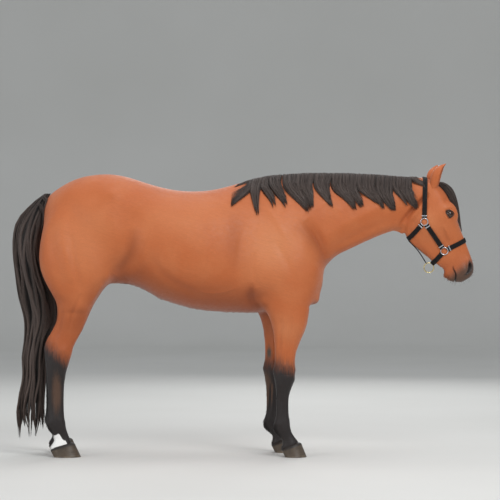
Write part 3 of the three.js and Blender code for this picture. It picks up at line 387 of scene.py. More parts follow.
# ---- muscles, bones and folds
# Soft swellings of the body: name, middle (x, sideways, z), reach in each direction, the turn that
# tips its front up (degrees), and how far it raises the skin (or, less than nothing, sinks it).
SWELLINGS = [
    ("triceps", (0.150, 0.215, 0.985), (0.070, 0.06, 0.090), 24, 0.007),
    ("front of the shoulder", (0.330, 0.185, 1.130), (0.060, 0.07, 0.120), -30, 0.008),
    ("point of the shoulder", (0.372, 0.160, 1.020), (0.034, 0.05, 0.034), 0, 0.006),
    ("behind the shoulder blade", (-0.020, 0.250, 1.110), (0.032, 0.08, 0.150), -6, -0.007),
    ("girth behind the elbow", (0.050, 0.200, 0.860), (0.040, 0.08, 0.040), 0, -0.010),
    ("point of the elbow", (0.112, 0.190, 0.842), (0.022, 0.04, 0.026), 0, 0.006),
    ("pocket before the forearm", (0.322, 0.150, 0.828), (0.030, 0.06, 0.024), 0, -0.006),
    ("breast", (0.415, 0.070, 0.925), (0.040, 0.040, 0.060), 0, 0.006),
    ("lower breast", (0.385, 0.075, 0.864), (0.045, 0.055, 0.032), 0, 0.026),
    ("fold under the breast", (0.372, 0.095, 0.822), (0.030, 0.060, 0.014), 0, -0.009),
    ("point of the hip", (-0.708, 0.232, 1.440), (0.032, 0.05, 0.024), 20, 0.008),
    ("hollow behind the hip", (-0.816, 0.190, 1.415), (0.050, 0.06, 0.034), 10, -0.005),
    ("hollow of the flank", (-0.598, 0.260, 1.300), (0.045, 0.08, 0.055), 0, -0.007),
    ("hip joint", (-0.872, 0.262, 1.210), (0.050, 0.06, 0.050), 0, 0.004),
    ("kneecap", (-0.742, 0.235, 0.985), (0.026, 0.05, 0.034), 20, 0.006),
    ("outer gaskin", (-0.900, 0.215, 0.842), (0.036, 0.04, 0.050), 30, 0.006),
    ("under the thigh", (-0.925, 0.215, 0.790), (0.050, 0.05, 0.016), 0, -0.003),
    ("outer forearm", (0.300, 0.200, 0.700), (0.024, 0.04, 0.080), 0, 0.004),
    ("inner knee", (0.225, 0.090, 0.500), (0.026, 0.014, 0.018), 0, 0.003),
    ("outer knee", (0.225, 0.182, 0.500), (0.022, 0.014, 0.016), 0, 0.003),
    ("knee pan", (0.282, 0.135, 0.478), (0.014, 0.026, 0.016), 0, 0.003),
    ("low knee pan", (0.280, 0.135, 0.424), (0.014, 0.024, 0.014), 0, 0.0025),
    ("back of the knee", (0.163, 0.138, 0.470), (0.014, 0.018, 0.022), 0, 0.006),
    ("outer hock bone", (-0.985, 0.186, 0.585), (0.020, 0.016, 0.022), 0, 0.005),
    ("inner hock bone", (-0.980, 0.086, 0.570), (0.022, 0.016, 0.026), 0, 0.005),
    ("outer hock hollow", (-1.034, 0.176, 0.604), (0.014, 0.030, 0.030), 0, -0.007),
    ("inner hock hollow", (-1.034, 0.094, 0.604), (0.014, 0.030, 0.030), 0, -0.007),
    ("hock pan", (-0.945, 0.135, 0.560), (0.016, 0.030, 0.030), 0, 0.003),
    ("head of the splint bone", (-1.010, 0.176, 0.470), (0.018, 0.014, 0.020), 0, 0.003),
]
# The same below the knee and the hock: (x, z) of the fetlock's bones, of the hollow before them and of
# the pastern's hollow, and where the bulbs of the heel are, ahead and sideways
for bone, hollow, pastern, heel in (
    ((0.190, 0.186), (0.222, 0.176), (0.205, 0.088), (0.214, 0.134)),
    ((-1.054, 0.196), (-1.012, 0.182), (-1.046, 0.090), (-1.052, 0.135)),
):
    for out in (-1, 1):
        SWELLINGS.append(("fetlock bone", (bone[0], 0.134 + 0.034 * out, bone[1]),
                          (0.016, 0.012, 0.016), 0, 0.0035))
        SWELLINGS.append(("bulb of the heel", (heel[0], heel[1] + 0.021 * out, 0.052),
                          (0.018, 0.016, 0.016), 0, 0.006))
    SWELLINGS.append(("fetlock hollow", (hollow[0], 0.168, hollow[1]), (0.010, 0.014, 0.018), 0, -0.0025))
    SWELLINGS.append(("hollow of the pastern", (pastern[0], 0.135, pastern[1]),
                      (0.012, 0.016, 0.016), 0, -0.005))

# Ridges and grooves along lines on the body: name, the line in (x, z), its reach, how far it raises
# the skin, and the side of the limb that it lies on (1 outer, -1 inner, 0 both).
BODY_LINES = [
    ("front edge of the shoulder", [(0.285, 1.300), (0.340, 1.225), (0.395, 1.150), (0.420, 1.070)],
     0.022, 0.010, 1),
    ("hollow before the shoulder", [(0.345, 1.300), (0.400, 1.225), (0.440, 1.150), (0.462, 1.090)],
     0.024, -0.013, 1),
    ("spine of the shoulder blade", [(0.100, 1.420), (0.190, 1.280), (0.290, 1.120)], 0.020, 0.004, 1),
    ("before the triceps", [(0.165, 1.190), (0.225, 1.090), (0.265, 0.990), (0.270, 0.900)],
     0.022, -0.005, 1),
    ("through the triceps", [(0.060, 1.120), (0.050, 1.030), (0.075, 0.930)], 0.016, -0.005, 1),
    ("side of the neck", [(0.380, 1.160), (0.520, 1.250), (0.700, 1.345), (0.880, 1.420)],
     0.030, 0.005, 1),
    ("jugular groove", [(0.440, 1.125), (0.580, 1.192), (0.740, 1.268), (0.860, 1.320)],
     0.021, -0.0050, 1),
    ("upper neck", [(0.260, 1.400), (0.430, 1.430), (0.640, 1.450), (0.830, 1.470)], 0.030, -0.004, 1),
    ("edge of the ribs", [(-0.200, 0.880), (-0.340, 0.930), (-0.470, 1.040), (-0.530, 1.180)],
     0.026, -0.004, 1),
    ("ridge of the flank", [(-0.540, 1.260), (-0.528, 1.150), (-0.570, 1.040), (-0.640, 0.975)],
     0.028, 0.005, 1),
    ("groove of the flank", [(-0.592, 1.260), (-0.604, 1.140), (-0.650, 1.050), (-0.700, 1.000)],
     0.024, -0.007, 1),
    ("ridge of the haunch", [(-0.960, 1.370), (-0.985, 1.220), (-0.960, 1.080), (-0.930, 0.960)],
     0.026, 0.005, 1),
    ("groove of the thigh", [(-0.930, 1.220), (-0.925, 1.120), (-0.900, 0.990), (-0.880, 0.900)],
     0.018, -0.007, 1),
    ("back groove of the thigh", [(-1.040, 1.360), (-1.045, 1.200), (-1.010, 1.040), (-0.970, 0.900)],
     0.024, -0.004, 1),
    ("front of the thigh", [(-0.715, 1.350), (-0.690, 1.200), (-0.710, 1.080)], 0.030, 0.004, 1),
    ("kneecap ligament", [(-0.770, 0.950), (-0.805, 0.890), (-0.830, 0.840)], 0.011, 0.004, 0),
    ("groove of the gaskin", [(-0.880, 0.900), (-0.925, 0.790), (-0.955, 0.680)], 0.011, -0.005, 1),
    ("front of the shin", [(-0.850, 0.780), (-0.895, 0.690), (-0.930, 0.610)], 0.012, 0.003, 0),
    ("hollow before the hamstring", [(-0.985, 0.800), (-1.015, 0.700), (-1.038, 0.640)],
     0.013, -0.007, 0),
    ("hamstring", [(-1.020, 0.790), (-1.055, 0.690), (-1.085, 0.615)], 0.010, 0.004, 0),
    ("back of the hock", [(-1.088, 0.600), (-1.080, 0.530), (-1.070, 0.470)], 0.010, 0.003, 0),
    ("groove of the hind cannon", [(-1.034, 0.455), (-1.038, 0.340), (-1.042, 0.240)],
     0.0065, -0.004, 0),
    ("hind tendon", [(-1.064, 0.450), (-1.064, 0.340), (-1.066, 0.240)], 0.008, 0.002, 0),
    ("hind splint bone", [(-1.018, 0.450), (-1.018, 0.340)], 0.006, 0.0015, 0),
    ("groove of the forearm", [(0.262, 0.770), (0.258, 0.650), (0.256, 0.545)], 0.011, -0.005, 1),
    ("back groove of the forearm", [(0.208, 0.760), (0.200, 0.650), (0.196, 0.550)], 0.010, -0.004, 1),
    ("inner groove of the forearm", [(0.250, 0.740), (0.236, 0.640), (0.226, 0.560)],
     0.012, -0.004, -1),
    ("between the rows of the knee", [(0.284, 0.452), (0.240, 0.452), (0.200, 0.456)], 0.006, -0.002, 0),
    ("groove of the fore cannon", [(0.206, 0.392), (0.204, 0.300), (0.200, 0.228)], 0.0065, -0.004, 0),
    ("fore tendon", [(0.185, 0.395), (0.184, 0.300), (0.180, 0.228)], 0.008, 0.002, 0),
    ("fore splint bone", [(0.220, 0.392), (0.219, 0.320)], 0.006, 0.0015, 0),
    ("girth vein", [(-0.020, 0.930), (-0.140, 0.900), (-0.260, 0.905)], 0.007, 0.0012, 1),
    ("forearm vein", [(0.275, 0.800), (0.225, 0.700), (0.215, 0.560), (0.215, 0.470)], 0.004, 0.002, -1),
    ("gaskin vein", [(-0.850, 0.900), (-0.900, 0.780), (-0.945, 0.640), (-0.962, 0.540)],
     0.004, 0.002, -1),
]

# Ribs: where the first one starts, the step to the next, how many, and how they lie in (x, z)
RIBS = {"first": 0.0, "step": -0.056, "count": 9, "top": 1.30, "bottom": 0.96, "lean": -0.07}
RIB_RAISE = 0.0006

# The head's: name, middle in the head's frame (along, sideways, up), reaches, and how far
HEAD_SWELLINGS = [
    ("hollow above the eye", (0.156, 0.070, 0.022), (0.017, 0.018, 0.014), -0.008),
    ("temple", (0.112, 0.080, 0.004), (0.026, 0.025, 0.022), 0.003),
    ("cheek", (0.212, 0.090, -0.150), (0.066, 0.04, 0.062), 0.006),
    ("before the cheek", (0.345, 0.075, -0.150), (0.055, 0.04, 0.060), -0.0025),
    ("hollow under the crest", (0.370, 0.060, -0.090), (0.050, 0.03, 0.022), -0.004),
    ("nasal hollow", (0.440, 0.048, -0.036), (0.050, 0.02, 0.016), -0.004),
    ("top of the nostril", (0.516, 0.044, -0.022), (0.026, 0.018, 0.018), 0.005),
    ("wing of the nostril", (0.534, 0.052, -0.072), (0.022, 0.014, 0.028), 0.006),
    ("before the nostril", (0.572, 0.036, -0.060), (0.014, 0.014, 0.020), 0.003),
    ("upper lip", (0.574, 0.022, -0.110), (0.022, 0.030, 0.022), 0.006),
    ("side of the upper lip", (0.545, 0.044, -0.112), (0.020, 0.014, 0.020), 0.004),
    ("chin", (0.512, 0.0, -0.170), (0.018, 0.026, 0.016), 0.008),
    ("lower lip", (0.546, 0.020, -0.156), (0.016, 0.024, 0.012), 0.005),
    ("between chin and lip", (0.532, 0.020, -0.168), (0.007, 0.03, 0.012), -0.004),
    ("hollow before the chin", (0.470, 0.030, -0.150), (0.018, 0.03, 0.022), -0.004),
    ("base of the ear", (0.048, 0.060, -0.004), (0.034, 0.026, 0.034), 0.008),
    ("front of the forehead", (0.100, 0.0, 0.050), (0.050, 0.030, 0.020), 0.003),
]

# Ridges and grooves on the head: name, the line in (along, up), its reach, and how far it raises
HEAD_LINES = [
    ("facial crest", [(0.262, -0.052), (0.300, -0.054), (0.352, -0.062)], 0.0085, 0.0060),
    ("under the facial crest", [(0.262, -0.074), (0.310, -0.078), (0.365, -0.084)], 0.013, -0.0028),
    ("edge of the jaw", [(0.096, -0.060), (0.112, -0.112), (0.132, -0.158), (0.160, -0.206),
                         (0.205, -0.238), (0.270, -0.238), (0.340, -0.212)], 0.013, 0.0078),
    ("inside the jaw's edge", [(0.140, -0.120), (0.165, -0.165), (0.210, -0.196), (0.270, -0.196)],
     0.020, -0.0022),
    ("behind the jaw", [(0.070, -0.040), (0.084, -0.100), (0.102, -0.155), (0.130, -0.215),
                        (0.160, -0.262)], 0.0125, -0.0155),
    ("vein of the face", [(0.300, -0.168), (0.322, -0.130), (0.338, -0.095), (0.344, -0.060)],
     0.0040, 0.0007),
    ("lip muscle", [(0.330, -0.022), (0.400, -0.028), (0.480, -0.030)], 0.009, 0.0028),
    ("cheek muscle", [(0.350, -0.120), (0.420, -0.104), (0.490, -0.100)], 0.012, 0.0025),
    ("edge of the lower jaw", [(0.330, -0.215), (0.400, -0.184), (0.470, -0.158)], 0.010, 0.0025),
    ("brow bone", [(0.182, 0.036), (0.205, 0.034), (0.236, 0.022)], 0.010, 0.0045),
    ("crease of the upper lid", [(0.188, 0.020), (0.206, 0.0275), (0.226, 0.0265), (0.243, 0.015)],
     0.0036, -0.0026),
    ("fold over the crease", [(0.182, 0.025), (0.204, 0.0345), (0.228, 0.033)], 0.0042, 0.0022),
    ("crease of the lower lid", [(0.203, -0.026), (0.222, -0.0320), (0.241, -0.0225)],
     0.0040, -0.0018),
]


def curve_through(knots, count):
    """Points evenly along a smooth (Catmull-Rom) curve through the knots: between two knots each
    point is the cubic whose slope at a knot is half the step between that knot's neighbours."""
    knots = np.asarray(knots, float)
    before = np.vstack([2 * knots[0] - knots[1], knots[:-1]])
    after = np.vstack([knots[1:], 2 * knots[-1] - knots[-2]])
    slopes = (after - before) / 2
    place = np.linspace(0, len(knots) - 1, count)
    start = np.minimum(place.astype(int), len(knots) - 2)
    t = (place - start)[:, None]
    p, q, m, n = knots[start], knots[start + 1], slopes[start], slopes[start + 1]
    square, cube = t * t, t * t * t
    here = (2 * cube - 3 * square + 1) * p + (cube - 2 * square + t) * m
    return here + (3 * square - 2 * cube) * q + (cube - square) * n


def along_line(points, knots, reach, fades=True):
    """How near each flat point is to a curve: exp(-(d / reach)^2), which may fade to its two ends."""
    line = curve_through(knots, 10 * len(knots))
    near = np.zeros(len(points))
    low, high = line.min(axis=0) - 3 * reach, line.max(axis=0) + 3 * reach
    picked = np.nonzero(((points > low) & (points < high)).all(axis=1))[0]
    if len(picked) == 0:
        return near
    best = np.full(len(picked), 1e9)
    place = np.zeros(len(picked))
    for i, (a, b) in enumerate(zip(line[:-1], line[1:])):
        step = b - a
        t = np.clip((points[picked] - a) @ step / (step @ step), 0, 1)
        gap = np.linalg.norm(points[picked] - a - t[:, None] * step, axis=1)
        nearer = gap < best
        best = np.where(nearer, gap, best)
        place = np.where(nearer, (i + t) / (len(line) - 1), place)
    near[picked] = np.exp(-((best / reach) ** 2))
    if fades:
        near[picked] *= np.sin(np.pi * place) ** 0.6
    return near


def swell(points, rows):
    """Height of the swellings at each point: the sum of raise * exp(-(d/reach)^2) over the rows. A
    swelling off the middle stands on both sides."""
    height = np.zeros(len(points))
    for _, middle, reach, *turn, raised in rows:
        aside = np.abs(points[:, 1]) if middle[1] else points[:, 1]
        x, y, z = (np.stack([points[:, 0], aside, points[:, 2]], axis=1) - middle).T
        cosine, sine = math.cos(math.radians(sum(turn))), math.sin(math.radians(sum(turn)))
        offset = np.stack([x * cosine + z * sine, y, z * cosine - x * sine], axis=1)
        height += raised * np.exp(-((offset / reach) ** 2).sum(axis=1))
    return height


def limb_middle(points):
    """How far sideways the middle of the limb is that a point belongs to."""
    return np.where(leg_share(points) > 0.5, 0.136, 0.0)


def shape_body(points, normals):
    """Height of muscles, bones, tendons, ribs and veins over the smooth form of the body."""
    at = home(points)
    on_body = 1 - head_share(points)
    height = swell(at, SWELLINGS)
    flat = at[:, [0, 2]]
    aside = np.sign(np.abs(at[:, 1]) - limb_middle(at))
    facing = smoothstep(0.15, 0.5, np.abs(normals[:, 1]))
    low_leg = at[:, 2] < 0.72
    shown = np.where(low_leg, np.maximum(facing, 0.25), facing)
    for _, knots, reach, raised, which in BODY_LINES:
        side = 1.0 if which == 0 else np.where(low_leg, aside * which > 0, which > 0)
        height += raised * along_line(flat, knots, reach) * shown * side
    for i in range(RIBS["count"]):
        x = RIBS["first"] + i * RIBS["step"]
        middle = (x + RIBS["lean"] / 2 - 0.012, (RIBS["top"] + RIBS["bottom"]) / 2)
        line = [(x, RIBS["top"]), middle, (x + RIBS["lean"], RIBS["bottom"])]
        height += RIB_RAISE * along_line(flat, line, 0.013) * facing
    return height * on_body


def shape_head(points, normals):
    """Height of bones, muscles, folds and veins over the smooth form of the head."""
    at = head_frame(points)
    height = swell(at, HEAD_SWELLINGS)
    flat = at[:, [0, 2]]
    facing = smoothstep(0.05, 0.35, np.abs(normals[:, 1]))
    for _, knots, reach, raised in HEAD_LINES:
        height += raised * along_line(flat, knots, reach) * facing
    return height * head_share(points)


def ear_collars(points):
    """The head's surface rises along the ears' axes round their bases, and dies away over 9 mm."""
    moved = points.copy()
    for side in SIDES.values():
        base, _, axis, _, _ = ear_frame(side)
        mirror = np.array([1, side, 1])
        offset = points * mirror - base
        up = offset @ axis
        away = np.linalg.norm(offset - up[:, None] * axis, axis=1)
        rise = 0.010 * np.exp(-np.maximum(away - 0.019, 0) / 0.008) * bell(up, 0, 0.022)
        moved += rise[:, None] * (axis * mirror)
    return moved


# ---- eyelids, nostrils, mouth, ears
# The opening between the lids, from the eye's middle in (along the head, up): round from the corner
# by the cheek, over the upper lid to the corner by the nose, and back along the lower lid.
LIDS = [(-0.0246, -0.0114), (-0.0210, 0.0038), (-0.0096, 0.0126), (0.0030, 0.0104), (0.0118, 0.0018),
        (0.0175, -0.0096), (0.0078, -0.0152), (-0.0050, -0.0177), (-0.0162, -0.0169)]
EYEBALL = EYE_RADIUS + 0.0012
LID_THICK = 0.0022
LID_CELL = 0.0011  # points this near the lids' edge are drawn onto it
LID_REACH = 0.016  # the lids flow into the face over this distance
CORNER_DEPTH = 0.004
SOCKET = {"height": 0.0090, "fall": 4.0, "soft": 0.006}  # its rim's height - fall * distance^2
# The eye's own ways, in the head's frame: level, high, and its line of sight out of the face
SIGHT = unit(np.array([0.19, 0.93, 0.28]))
LEVEL = unit(np.array([1.0, 0, 0]) - SIGHT[0] * SIGHT)
EYE_WAYS = np.array([LEVEL, np.cross(LEVEL, SIGHT), SIGHT])
EYE_MIDDLE = np.array([EYE_PLACE[0], abs(EYES["left"][1]), EYE_PLACE[1]])

NOSTRIL = {"middle": (0.543, 0.043, -0.040), "half_long": 0.036, "half_wide": 0.0130, "bend": 6.5,
           "depth": 0.024, "rim": 0.0046}
MOUTH = [(0.484, -0.108), (0.498, -0.115), (0.514, -0.117), (0.532, -0.119), (0.550, -0.128),
         (0.568, -0.140), (0.592, -0.152), (0.616, -0.162)]
MOUTH_DEPTH = 0.0065
FINE_SPOTS = {"eye": 0.040, "nostril": 0.050, "mouth": 0.016}


def closed_curve(knots, count):
    """A closed smooth curve: the open one through the knots and their first neighbours again."""
    knots = np.asarray(knots, float)
    looped = np.vstack([knots[-2:], knots, knots[:3]])
    per_knot = count // len(knots)
    curve = curve_through(looped, (len(looped) - 1) * per_knot + 1)
    return curve[2 * per_knot : (2 + len(knots)) * per_knot]


def lid_edge(a, b):
    """How far points lie outside the opening of the lids (less than nothing inside it), as the
    difference between their distance from the middle and the opening's at the same angle."""
    curve = closed_curve(LIDS, 90)
    angles = np.arctan2(curve[:, 1], curve[:, 0])
    order = np.argsort(angles)
    radii = np.hypot(curve[:, 0], curve[:, 1])[order]
    radius = np.interp(np.arctan2(b, a), angles[order], radii, period=2 * math.pi)
    return 0.92 * (np.hypot(a, b) - radius)


def eye_local(points):
    """Place from the near eye's middle: level, high, and outwards along its line of sight."""
    along, aside, up = head_frame(points).T
    return (np.stack([along, np.abs(aside), up], axis=1) - EYE_MIDDLE) @ EYE_WAYS.T


def from_eye(places, side):
    """The points at places counted from an eye's middle, on a side of the head."""
    at = np.asarray(places) @ EYE_WAYS + EYE_MIDDLE
    at[:, 1] *= side
    return from_head_frame(at)


def open_eyes(points):
    """Raises the rim of the eye's socket as a low mound and lays the lids over the eyeballs. Out to
    LID_REACH from their edge the skin takes the height of a ball round the eye's middle, LID_THICK
    over the eyeball; inside the edge it drops below it. Two creases follow the upper lid."""
    a, b, out = eye_local(points).T
    away = np.hypot(a, b)
    picked = (away < 0.085) & (np.abs(out) < 0.035)
    a, b, out, away = a[picked], b[picked], out[picked], away[picked]
    mound = SOCKET["height"] - SOCKET["fall"] * away**2
    raised = 0.5 * (out + mound + np.sqrt((out - mound) ** 2 + SOCKET["soft"] ** 2))
    out = out + (raised - out) * (1 - smoothstep(0.050, 0.082, away))
    edge = lid_edge(a, b)
    drawn = np.where(np.abs(edge) < 0.62 * LID_CELL, edge, 0) / np.maximum(away, 1e-4)
    a, b, away = a * (1 - drawn), b * (1 - drawn), away * (1 - drawn)
    edge = np.where(drawn != 0, 0, edge)
    ball = np.sqrt(np.maximum(EYEBALL**2 - away**2, 0))
    lid = np.sqrt(np.maximum((EYEBALL + LID_THICK) ** 2 - away**2, 0))
    lid = np.maximum(lid, out - CORNER_DEPTH)
    near = 1 - smoothstep(0.003, LID_REACH, edge)
    height = out + near * (lid - out)
    height -= 0.0014 * (1 - smoothstep(0, 0.0024, edge))
    creases = bell(edge, 0.0068, 0.0016) + 0.6 * bell(edge, 0.0125, 0.0020)
    height -= 0.0013 * smoothstep(0.0, 0.010, b) * creases
    inside = np.maximum(ball - 0.0006 - 0.5 * np.maximum(-edge, 0), lid - 0.0052)
    height = np.where(edge < 0, inside, height)
    moved = points.copy()
    moved[picked] = from_eye(np.stack([a, b, height], axis=1), np.sign(points[picked, 1]))
    return moved


def nostril_frame(side):
    """Middle of a nostril, the way it runs long, across it to the front, and out of it."""
    along, aside, up = NOSTRIL["middle"]
    middle = from_head_frame([along, aside * side, up])
    out = unit(from_head_frame([0.25, 0.90 * side, 0.42]) - POLL)
    long = unit(from_head_frame([0.66, 0.30 * side, -0.70]) - POLL)
    long = unit(long - (long @ out) * out)
    across = unit(np.cross(long, out)) * side
    return middle, long, across, out


def nostril_ring(points, side):
    """How far out of a nostril points lie, 1 being its rim, and their place across and off it. The
    nostril is an ellipse that is bent like a comma."""
    middle, long, across, out = nostril_frame(side)
    offset = points - middle
    p, q, r = offset @ long, offset @ across, offset @ out
    bent = q + NOSTRIL["bend"] * p * p
    wide = NOSTRIL["half_wide"] * (1 - 0.35 * p / NOSTRIL["half_long"])
    ring = np.sqrt((p / NOSTRIL["half_long"]) ** 2 + (bent / wide) ** 2)
    return ring, bent, r


def open_nostrils(points, normals):
    """Sinks the nostrils in and raises their rims, most at the wing behind."""
    moved = points.copy()
    for side in SIDES.values():
        ring, across, off = nostril_ring(points, side)
        near = (np.abs(off) < 0.03) & (ring < 4) & (points[:, 1] * side > 0.004)
        wing = NOSTRIL["rim"] * (1 + 0.8 * np.tanh(-across / 0.006)) / 1.4
        rim = wing * bell(ring, 1.30, 0.40) * near
        hole = NOSTRIL["depth"] * (1 - smoothstep(0.42, 1.02, ring)) * near
        inwards = unit(-nostril_frame(side)[3] - 0.75 * HEAD_ALONG)
        moved += rim[:, None] * normals + hole[:, None] * inwards
    return moved


def part_lips(points, normals):
    """Sinks the line of the mouth and rounds the lips on both its sides."""
    at = head_frame(points)
    flat = at[:, [0, 2]]
    close = along_line(flat, MOUTH, 0.0032)
    lips = along_line(flat, MOUTH, 0.0130)
    low = (flat[:, 0] > 0.45) * head_share(points)
    height = (0.0028 * lips - (MOUTH_DEPTH + 0.0028) * close) * low
    return points + height[:, None] * normals


EAR = {"base": (1.046, 0.062, 1.478), "tips": {-1.0: (1.110, 0.076, 1.612), 1.0: (1.078, 0.074, 1.610)},
       "opens": (0.98, 0.20, 0.0), "half": 0.031, "wall": 0.0052, "curl": (179, 100), "lean": 0.010,
       "root": -0.26}
EAR_GRID = {"rows": 60, "columns": 30, "inset": 0.0008}


def ear_frame(side):
    base, tip = np.array(EAR["base"]), np.array(EAR["tips"][side])
    axis = unit(tip - base)
    opens = np.array(EAR["opens"])
    opens = unit(opens - (opens @ axis) * axis)
    return base, tip, axis, opens, np.cross(axis, opens)


def ear_sheet(side, rows, columns, inset):
    """The ear as a closed leaf rolled into a cup. Along the ear (t) its half width swells to a widest
    place at two fifths and comes to a point; round it (a, from -1 to 1) it is an arc that curls less
    towards the tip. The inner face is the outer one, moved in by the wall, which thins to the rim."""
    base, tip, axis, opens, across = ear_frame(side)
    t = np.linspace(EAR["root"], 1, rows)[:, None]
    a = np.linspace(-1, 1, columns)[None, :]
    up = np.maximum(t, 0)
    half = EAR["half"] * (0.66 + 1.5 * t - 0.9 * up**2 - 1.18 * up**4) - inset
    half = half + 0.0012 * np.sin(9 * t + 3 * a) * up * (1 - up)
    curl = np.radians(EAR["curl"][1] + (EAR["curl"][0] - EAR["curl"][1]) * (1 - up) ** 2.2)
    curl = curl * (1 - 0.07 * bell(up, 0.86, 0.10))
    lean = EAR["lean"] * (np.sin(up * math.pi) - 0.6 * up)
    wall = np.minimum(EAR["wall"], half * 0.45) * (1 - 0.62 * np.abs(a) ** 6)
    middle = base + np.linalg.norm(tip - base) * t[..., None] * axis - lean[..., None] * opens

    def face(radius):
        angle = a * curl
        out = -np.cos(angle)[..., None] * opens + np.sin(angle)[..., None] * across
        return middle + radius[..., None] * out

    outer = face(half * np.ones_like(a))
    inner = face(half - wall)
    ring = np.concatenate([outer, inner[:, ::-1]], axis=1)
    ring[..., 1] *= side
    return ring


def closed_strip(ring, side=1):
    """Points and quads of rings whose second half runs back beside the first, closed by a strip at
    each end."""
    rows, around = ring.shape[:2]
    faces = grid_faces(rows, around, True)
    i = np.arange(around // 2 - 1)
    start = np.stack([i, around - 1 - i, around - 2 - i, i + 1], axis=1)
    end = np.stack([i, i + 1, around - 2 - i, around - 1 - i], axis=1) + (rows - 1) * around
    faces = np.concatenate([faces, start, end])
    if side > 0:
        faces = faces[:, ::-1]
    return ring.reshape(-1, 3), faces


def ear_place(points):
    """How far up the ear points lie, from 0 at its base to 1 at its tip."""
    place = np.full(len(points), -1.0)
    mirrored = np.stack([points[:, 0], np.abs(points[:, 1]), points[:, 2]], axis=1)
    for side in SIDES.values():
        base, tip, axis, _, _ = ear_frame(side)
        offset = mirrored - base
        up = (offset @ axis) / np.linalg.norm(tip - base)
        away = np.linalg.norm(offset - (offset @ axis)[:, None] * axis, axis=1)
        place = np.where((points[:, 1] * side > 0) & (away < 0.055), up, place)
    return place


# ---- the skin
def subdivided(piece, picked, cuts):
    """Cuts the picked points' faces finer, by so many cuts across each edge."""
    shape = bmesh.new()
    shape.from_mesh(piece.data)
    shape.verts.ensure_lookup_table()
    chosen = [shape.verts[i] for i in np.nonzero(picked)[0].tolist()]
    edges = {edge for vert in chosen for edge in vert.link_edges if picked[edge.other_vert(vert).index]}
    bmesh.ops.subdivide_edges(shape, edges=list(edges), cuts=cuts, use_grid_fill=True, smooth=0)
    bmesh.ops.triangulate(shape, faces=shape.faces)
    shape.to_mesh(piece.data)
    shape.free()
    piece.data.update()


def thinned(piece, free, target):
    """Takes faces out where `free` is set until `target` triangles are left in all."""
    group = piece.vertex_groups.new(name="free")
    for picked, weight in ((free, 1.0), (~free, 0.0)):
        group.add(np.nonzero(picked)[0].tolist(), weight, "REPLACE")
    modifier = piece.modifiers.new("thin", "DECIMATE")
    modifier.ratio = target / len(piece.data.polygons)
    modifier.vertex_group = "free"
    modifier.vertex_group_factor = 0.0
    applied(piece)
    piece.vertex_groups.clear()


def detail_zone(points):
    """2 at the eyes, nostrils, mouth and ears, 1 on the rest of the head, 0.5 on the lower legs."""
    a, b, out = eye_local(points).T
    zone = np.where(leg_share(points) > 0.5, 0.5, 0.0)
    on_head = head_share(points) > 0.4
    zone[on_head] = 1
    fine = (np.hypot(a, b) < FINE_SPOTS["eye"]) & (out > -0.01)
    for side in SIDES.values():
        middle = nostril_frame(side)[0]
        fine |= np.linalg.norm(points - middle, axis=1) < FINE_SPOTS["nostril"]
    flat = head_frame(points)[:, [0, 2]]
    fine |= (along_line(flat, MOUTH, FINE_SPOTS["mouth"], fades=False) > 0.3) & on_head
    fine |= ear_place(points) > 0.15
    zone[fine] = 2
    return zone


def make_skin(sizes):
    """The whole skin: first form, ears, muscles and folds, the face's openings, and fewer faces on
    the plain parts of the body."""
    piece = first_form(sizes.coarse)
    mesh = remeshed(piece, sizes.fine)
    points = points_of(mesh)
    points = spread_out(points, edges_of(mesh), np.full(len(points), 0.9), steps=1, tries=2)
    move_points(mesh, points)
    points = points - sizes.coat_depth * normals_of(mesh)
    move_points(mesh, points)
    subdivided(piece, detail_zone(points) == 2, 2)
    mesh = piece.data
    points = points_of(mesh)
    normals = normals_of(mesh)
    height = shape_body(points, normals) + shape_head(points, normals)
    points = part_lips(points + height[:, None] * normals, normals)
    move_points(mesh, open_eyes(ear_collars(open_nostrils(points, normals))))
    for zone, spare in ((0.0, 240000), (0.5, 160000), (1.0, 0)):
        thinned(piece, detail_zone(points_of(piece.data)) <= zone, sizes.triangles + spare)
    corners = corners_of(piece.data).reshape(-1, 3)
    MADE["tree"] = BVHTree.FromPolygons(points_of(piece.data).tolist(), corners.tolist())
    add_ears(piece)
    return piece


def add_ears(piece):
    """Joins the ears' closed leaves to the skin, with their bases sunk into it."""
    shape = bmesh.new()
    shape.from_mesh(piece.data)
    for side in SIDES.values():
        leaf, faces = closed_strip(ear_sheet(side, **EAR_GRID), side)
        mesh = new_mesh("ear", leaf, faces)
        shape.from_mesh(mesh)
        bpy.data.meshes.remove(mesh)
    shape.to_mesh(piece.data)
    shape.free()


# ---- where each colour of the coat lies, and where shade and highlights are painted
# Painted shade in creases and grooves of the body: how much, along which line in (x, z), and how far
# beside it
PAINTED_SHADE_LINES = [
    (0.95, [(0.050, 0.960), (0.040, 0.880), (0.066, 0.828), (0.118, 0.790)], 0.017),
    (0.55, [(-0.595, 1.25), (-0.612, 1.12), (-0.68, 1.02)], 0.03),
    (0.55, [(0.295, 1.300), (0.345, 1.240), (0.405, 1.165), (0.448, 1.085), (0.458, 1.030)], 0.036),
    (0.30, [(-0.03, 1.36), (-0.055, 1.20), (-0.03, 1.02)], 0.045),
]
# Where shade is painted along the back of the jaw, as (along, up) in the head's frame
JOWL_SHADE_LINE = [(0.070, -0.050), (0.084, -0.100), (0.102, -0.155), (0.130, -0.215)]
# Painted highlights on the body: how much, and the middle and reach in x and in z
LIGHT_SPOTS = [
    (0.90, 0.16, 0.17, 1.16, 0.17), (0.50, -0.86, 0.16, 1.20, 0.22), (0.45, -0.35, 0.22, 1.30, 0.12),
]


